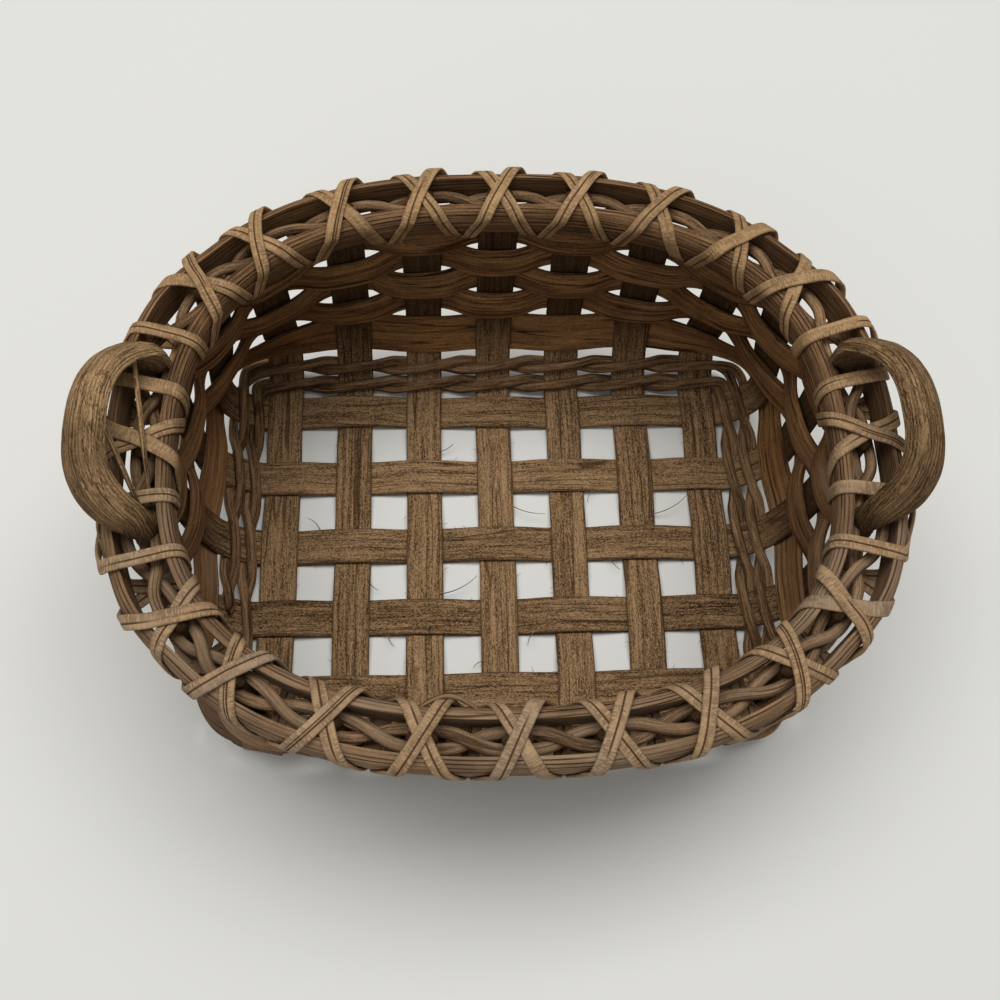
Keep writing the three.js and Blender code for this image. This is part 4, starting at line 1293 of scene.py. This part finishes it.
class BASKET_OT_lashing(bpy.types.Operator):
    """Binds the rim with two flat strips that cross over every stake"""

    bl_idname = "basket.lashing"
    bl_label = "Lashing"

    SEED = 500
    COLUMNS = 14
    CROWN = 3
    STEP = 0.9 * MM
    STRAY = 0.1 * MM
    BREADTH = (0.06, 50 * MM, 4.4)
    # Shares of a wrap's length, and of the way to the next gap made there, past a stake and past a handle
    WALKED = (0, 0.16, 0.31, 0.5, 0.69, 0.84, 1)
    SHARES = (0.035, 0.17, 0.305, 0.5, 0.695, 0.83, 0.965)
    HANDLE_SHARES = (0.1, 0.14, 0.16, 0.18, 0.22, 0.52, 0.9)
    # A wrap's first and last angle round the rim, from the inside foot over the top, and its squareness
    WRAP_ANGLES = (246, -66)
    WRAP_POINTS = 40
    WRAP_SQUARENESS = 3.2
    SPAN_POINTS = 3
    RIM_GAP = 0.1 * MM
    CROSSING_GAP = 0.05 * MM
    # How quickly the upper strip rises for a crossing: over the top, past a handle and below the rim
    TOP_CLIMB = 1.6
    HANDLE_CLIMB = 2.0
    FOOT_CLIMB = 2.5
    FOOT_CLIMB_START = 1.2

    def wrap(self, wall, over, handle):
        """One wrap: share of the way to the next gap, out and height, from the inside foot over the top."""
        turn = np.radians(np.linspace(*self.WRAP_ANGLES, self.WRAP_POINTS))
        out = squared_off(np.cos(turn), self.WRAP_SQUARENESS)
        up = squared_off(np.sin(turn), self.WRAP_SQUARENESS)
        lift = wall.lash_thickness + self.CROSSING_GAP if over else 0.0
        climb = smooth(self.HANDLE_CLIMB * out) if handle else smooth(self.TOP_CLIMB * up)
        raised = lift * np.maximum(climb, smooth(-self.FOOT_CLIMB * up - self.FOOT_CLIMB_START))
        touch = self.RIM_GAP + wall.lash_thickness / 2
        out = out * (wall.channel_half + wall.hoop_thickness + touch + raised)
        height = wall.hoop_middle + up * (wall.hoop_height / 2 + touch + raised)
        walked = lengths_along(np.stack([out, height], -1))
        shares = self.HANDLE_SHARES if handle else self.SHARES
        return np.stack([np.interp(walked / walked[-1], self.WALKED, shares), out, height], -1)

    def strip(self, wall, node, direction, over, seed, finish):
        """One strip all the way round."""
        wraps = []
        for turn in range(STAKE_ENDS):
            gap = direction * (turn + 0.5)
            handle = bool(is_handle_stake(np.round(gap + direction / 2)))
            wraps.append(self.wrap(wall, over, handle) * (direction, 1, 1) + (gap, 0, 0))
        route = smoothed(curve_through(np.concatenate(wraps), self.SPAN_POINTS), steps=4)
        place, out, height = route.T
        bulge = np.where(out > 0, wall.hoop_bulge(place) * smooth(out / wall.channel_half), 0)
        path = wall.rim_point(place, out + bulge, height)
        step_out, step_up = np.gradient(out), np.gradient(height)
        facing = unit(wall.rim_inward(place) * step_up[:, None] + UP * step_out[:, None])
        facing = unit(smoothed(facing, steps=3))
        reed = Reed(seed, ridge=0.04 * MM, ridge_width=0.9 * MM, ridge_length=60 * MM)
        path, facing, along = resampled(smoothed(path, steps=2), facing, self.STEP)
        half = wall.lash_thickness / 2
        width = wall.lash_width * (1 + reed.stray(along, *self.BREADTH))
        section, hollow = reed.strip(
            along, width, -half, half, self.CROWN, self.COLUMNS, stray=self.STRAY
        )
        piece = Piece(f"{node}_cane", seed)
        piece.add(path, facing, along, section, hollow)
        piece.build(finish, node)

    def execute(self, context):
        wall, colours = piece_step(context)
        finish = ReedFinish("lash_cane", colours.lash_dark, colours.lash_pale, grit=0.35, body=0.5)
        finish.weathered(0.55, colours.weathered).patches(0.22).cracks(gap=0.65, strength=0.42)
        finish = finish.edges(0.25).seam(0.9).done(depth=0.5, gloss=0.6)
        self.strip(wall, "rim_lashing_first", 1, False, self.SEED, finish)
        self.strip(wall, "rim_lashing_second", -1, True, self.SEED + 1, finish)
        return {"FINISHED"}


def stretch(path, facing, width, thickness):
    """A stretch of a strip as a table: place, facing, width and thickness of each point."""
    sizes = [np.broadcast_to(size, len(path))[:, None] for size in (width, thickness)]
    return np.concatenate([path, np.broadcast_to(facing, path.shape), *sizes], axis=1)


class BASKET_OT_handles(bpy.types.Operator):
    """Bends the two ear handles and tucks their tails beside the stakes"""

    bl_idname = "basket.handles"
    bl_label = "Handles"

    SEED = 600
    POINTS = 190
    COLUMNS = 40
    # Tails: where they end below the hoops' middle, their width, and the share left at their tips
    TAIL_POINTS = 14
    TAIL_TOP_DROP = 2.3 * MM
    TAIL_WIDTH = 6 * MM
    TAIL_TIP_SHARE = 0.5
    TAIL_TIP_LENGTH = 10 * MM
    # Legs: how far the arch's feet stand above the rim, and how far a leg's top is below them
    LEG_POINTS = 5
    FOOT_RISE = 1.0 * MM
    LEG_GAP = 0.5 * MM
    # The arch: its squareness, how it leans over and how quickly it gets its full width
    ARCH_POINTS = 60
    ARCH_SQUARENESS = 2.6
    LEAN_POWER = 1.5
    WIDENING = 4
    # Loose strands: share of the arch where they start, place and millimetres out where they end
    STRANDS = {"left_handle": [(0.1, 21.75, -3.0), (0.4, 21.95, -1.5)]}
    STRAND_SEED = 650
    STRAND_POINTS = 40
    STRAND_END_DROP = 1.5 * MM
    STRAND_BOW = 2.5 * MM

    def tail(self, wall, stake):
        """One tail, from its tip beside the stake up to the rods of the rim."""
        out = wall.stake_thickness / 2 + wall.clearance + wall.TAIL_THICKNESS / 2
        bottom, top = wall.rim_height - wall.handle_tail, wall.hoop_middle - self.TAIL_TOP_DROP
        heights = np.linspace(bottom, top, self.TAIL_POINTS)
        point, _, inward, _ = wall.directions(stake, heights)
        taper = grown(self.TAIL_TIP_SHARE, smooth((heights - bottom) / self.TAIL_TIP_LENGTH))
        return stretch(point - inward * out, -inward, self.TAIL_WIDTH * taper, wall.TAIL_THICKNESS * taper)

    def arch(self, wall, stakes, foot, leg):
        """The arch between two stakes, from the height of its feet, and the way from its middle to one."""
        ends = [wall.rim_point(stake, wall.tail_room / 2, foot) for stake in stakes]
        middle, half = (ends[0] + ends[1]) / 2, (ends[0] - ends[1]) / 2
        outward = -wall.rim_inward(sum(stakes) / 2)
        turn = np.linspace(0, np.pi, self.ARCH_POINTS)
        cosine, sine = np.cos(turn)[:, None], np.sin(turn)[:, None]
        climb = np.abs(squared_off(sine, self.ARCH_SQUARENESS))
        path = middle + half * squared_off(cosine, self.ARCH_SQUARENESS) + UP * wall.handle_rise * climb
        path = path + outward * wall.handle_lean * climb**self.LEAN_POWER
        away = unit(half)
        facing = away * cosine * wall.handle_rise + UP * sine * np.linalg.norm(half)
        facing = unit(facing + outward * sine * wall.handle_lean)
        width = leg + (wall.handle_width - leg) * smooth(self.WIDENING * climb[:, 0])
        return stretch(path, facing, width, wall.handle_thickness), away

    def handle(self, wall, node, stakes, seed, finish):
        """One handle: a tail, an arch that leans outwards and the other tail."""
        foot = wall.rim_height + self.FOOT_RISE
        leg = 2 * wall.channel_half + wall.tail_room - 2 * wall.clearance
        arch, away = self.arch(wall, stakes, foot, leg)
        drop = UP * np.linspace(foot - wall.stake_top, self.LEG_GAP, self.LEG_POINTS)[:, None]
        first_leg = stretch(arch[0, :3] - drop, away, leg, wall.handle_thickness)
        last_leg = stretch(arch[-1, :3] - drop, -away, leg, wall.handle_thickness)
        first_tail, last_tail = (self.tail(wall, stake) for stake in stakes)
        table = np.concatenate([first_tail, first_leg, arch, last_leg[::-1], last_tail[::-1]])
        walked = lengths_along(table[:, :3])
        along = np.linspace(0, walked[-1], self.POINTS)
        table = smoothed(spread(table, walked, along), steps=3)
        reed = Reed(seed, ridge=0.36 * MM, ridge_width=1.1 * MM, ridge_length=10 * MM)
        path, facing, sizes = np.split(table, (3, 6), axis=1)
        section, hollow = reed.domed(along, *sizes.T, self.COLUMNS)
        piece = Piece(f"{node}_cane", seed)
        piece.add(path, unit(facing), along, section, hollow)
        for share, place, out in self.STRANDS.get(node, []):
            start = arch[int(share * len(arch)), :3]
            self.strand(wall, piece, start, place, out * MM)
        piece.build(finish, node)

    def strand(self, wall, piece, start, place, out):
        """One strand from inside the handle to its end between the hoops of the rim."""
        end = wall.rim_point(place, out, wall.rim_height - self.STRAND_END_DROP)
        middle = (start + end) / 2 + UP * self.STRAND_BOW
        share = np.linspace(0, 1, self.STRAND_POINTS)[:, None]
        path = (1 - share) ** 2 * start + 2 * share * (1 - share) * middle + share**2 * end
        reed = Reed(self.STRAND_SEED, ridge=0.06 * MM, ridge_width=0.7 * MM, ridge_length=20 * MM)
        add_strand(piece, reed, path, wall.strand_radius)

    def execute(self, context):
        wall, colours = piece_step(context)
        finish = ReedFinish("handle_cane", colours.handle_dark, colours.handle_pale, grit=0.45, body=0.15)
        finish.ribs(gap=1.0, strength=0.4).bark(0.7).patches(0.5)
        # The handles get darker towards the front and towards the right
        finish.stain(Y, 12 * MM, -30 * MM, 0.4).stain(X, 0, 100 * MM, 0.25)
        finish = finish.done(depth=1.0, gloss=0.74)
        self.handle(wall, "right_handle", RIGHT_HANDLE, self.SEED, finish)
        self.handle(wall, "left_handle", LEFT_HANDLE, self.SEED + 1, finish)
        return {"FINISHED"}


class BASKET_OT_stage(bpy.types.Operator):
    """Sets up the floor, the soft lights and the camera"""

    bl_idname = "basket.stage"
    bl_label = "Stage"

    # Place and aim of the camera in millimetres, its roll in degrees, its lens and sensor
    CAMERA_PLACE = (-16.7, -128.65, 369.5)
    CAMERA_AIM = (1.7, 17.6, 0)
    CAMERA_ROLL = 5.97
    LENS = 39.6
    SENSOR = 36.0
    NEAREST = 0.01
    FARTHEST = 20.0
    # Name, place, target, width, depth, power and tint of each lamp, in metres and watts
    LAMPS = (
        ("top_lamp", (-0.05, 0.31, 1.5), (0, 0, 0), 1.9, 0.8, 21.6, (1.0, 0.985, 0.96)),
        ("front_lamp", (-0.5, -1.2, 1.2), (0, 0, 0.03), 1.2, 1.2, 3.2, (1.0, 0.99, 0.97)),
    )
    ROOM_TINT = (1.0, 0.99, 0.97, 1)
    ROOM_LIGHT = 0.23
    FLOOR_REACH = 3.0
    FLOOR_DROP = 0.05 * MM
    FLOOR_ROUGHNESS = 0.9

    def aimed(self, name, data, place, target):
        """Puts a camera or a lamp at a place and points it at a target."""
        item = bpy.data.objects.new(name, data)
        item.location = place
        item.rotation_mode = "QUATERNION"
        item.rotation_quaternion = (Vector(target) - Vector(place)).to_track_quat("-Z", "Y")
        bpy.context.scene.collection.objects.link(item)
        return item

    def camera(self):
        """The camera at the angle that the basket was seen from."""
        data = bpy.data.cameras.new("camera")
        data.sensor_width = self.SENSOR
        data.lens = self.LENS
        data.clip_start = self.NEAREST
        data.clip_end = self.FARTHEST
        place, aim = Vector(self.CAMERA_PLACE) * MM, Vector(self.CAMERA_AIM) * MM
        camera = self.aimed("camera", data, place, aim)
        roll = Quaternion((0, 0, 1), math.radians(self.CAMERA_ROLL))
        camera.rotation_quaternion = camera.rotation_quaternion @ roll
        bpy.context.scene.camera = camera

    def lamp(self, name, place, target, width, depth, power, tint):
        """A soft lamp that points at a place."""
        data = bpy.data.lights.new(name, "AREA")
        data.shape = "RECTANGLE"
        data.size = width
        data.size_y = depth
        data.energy = power
        data.color = tint
        self.aimed(name, data, place, target)

    def room(self, scene):
        """The even light from all round."""
        world = bpy.data.worlds.new("room")
        world.use_nodes = True
        background = world.node_tree.nodes["Background"]
        background.inputs["Color"].default_value = self.ROOM_TINT
        background.inputs["Strength"].default_value = self.ROOM_LIGHT
        scene.world = world

    def floor(self, scene):
        """A wide sheet of paper just below the basket."""
        mesh = bpy.data.meshes.new("floor")
        corners = [(-1, -1), (1, -1), (1, 1), (-1, 1)]
        points = [(x * self.FLOOR_REACH, y * self.FLOOR_REACH, 0) for x, y in corners]
        mesh.from_pydata(points, [], [range(len(points))])
        floor = bpy.data.objects.new("floor", mesh)
        floor.location.z = -self.FLOOR_DROP
        scene.collection.objects.link(floor)
        material, surface, _ = new_tree("floor_paper")
        surface.inputs["Base Color"].default_value = scene.basket_colours.floor
        surface.inputs["Roughness"].default_value = self.FLOOR_ROUGHNESS
        mesh.materials.append(material)

    def execute(self, context):
        self.camera()
        for lamp in self.LAMPS:
            self.lamp(*lamp)
        self.room(context.scene)
        self.floor(context.scene)
        context.scene.view_settings.view_transform = "Standard"
        return {"FINISHED"}


class BASKET_PT_panel(bpy.types.Panel):
    """Lists the steps that make the basket"""

    bl_idname = "BASKET_PT_panel"
    bl_label = "Gathering basket"
    bl_space_type = "VIEW_3D"
    bl_region_type = "UI"
    bl_category = "Basket"

    def draw(self, context):
        for step in STEPS:
            self.layout.operator(step.bl_idname)
        for group in (context.scene.basket_sizes, context.scene.basket_colours):
            box = self.layout.box()
            for name in type(group).__annotations__:
                box.prop(group, name)


STEPS = (
    BASKET_OT_stakes,
    BASKET_OT_base_twine,
    BASKET_OT_weavers,
    BASKET_OT_rim_rods,
    BASKET_OT_hoops,
    BASKET_OT_lashing,
    BASKET_OT_handles,
    BASKET_OT_stage,
)
CLASSES = (BasketSizes, BasketColours, *STEPS, BASKET_PT_panel)


def register():
    """Adds the classes and the basket's settings."""
    for kind in CLASSES:
        bpy.utils.register_class(kind)
    bpy.types.Scene.basket_sizes = bpy.props.PointerProperty(type=BasketSizes)
    bpy.types.Scene.basket_colours = bpy.props.PointerProperty(type=BasketColours)


def unregister():
    """Takes the settings and the classes away again."""
    del bpy.types.Scene.basket_colours
    del bpy.types.Scene.basket_sizes
    for kind in reversed(CLASSES):
        bpy.utils.unregister_class(kind)


def main():
    """Makes the whole basket."""
    register()
    for step in STEPS:
        group, name = step.bl_idname.split(".")
        getattr(getattr(bpy.ops, group), name)()


if __name__ == "__main__":
    main()
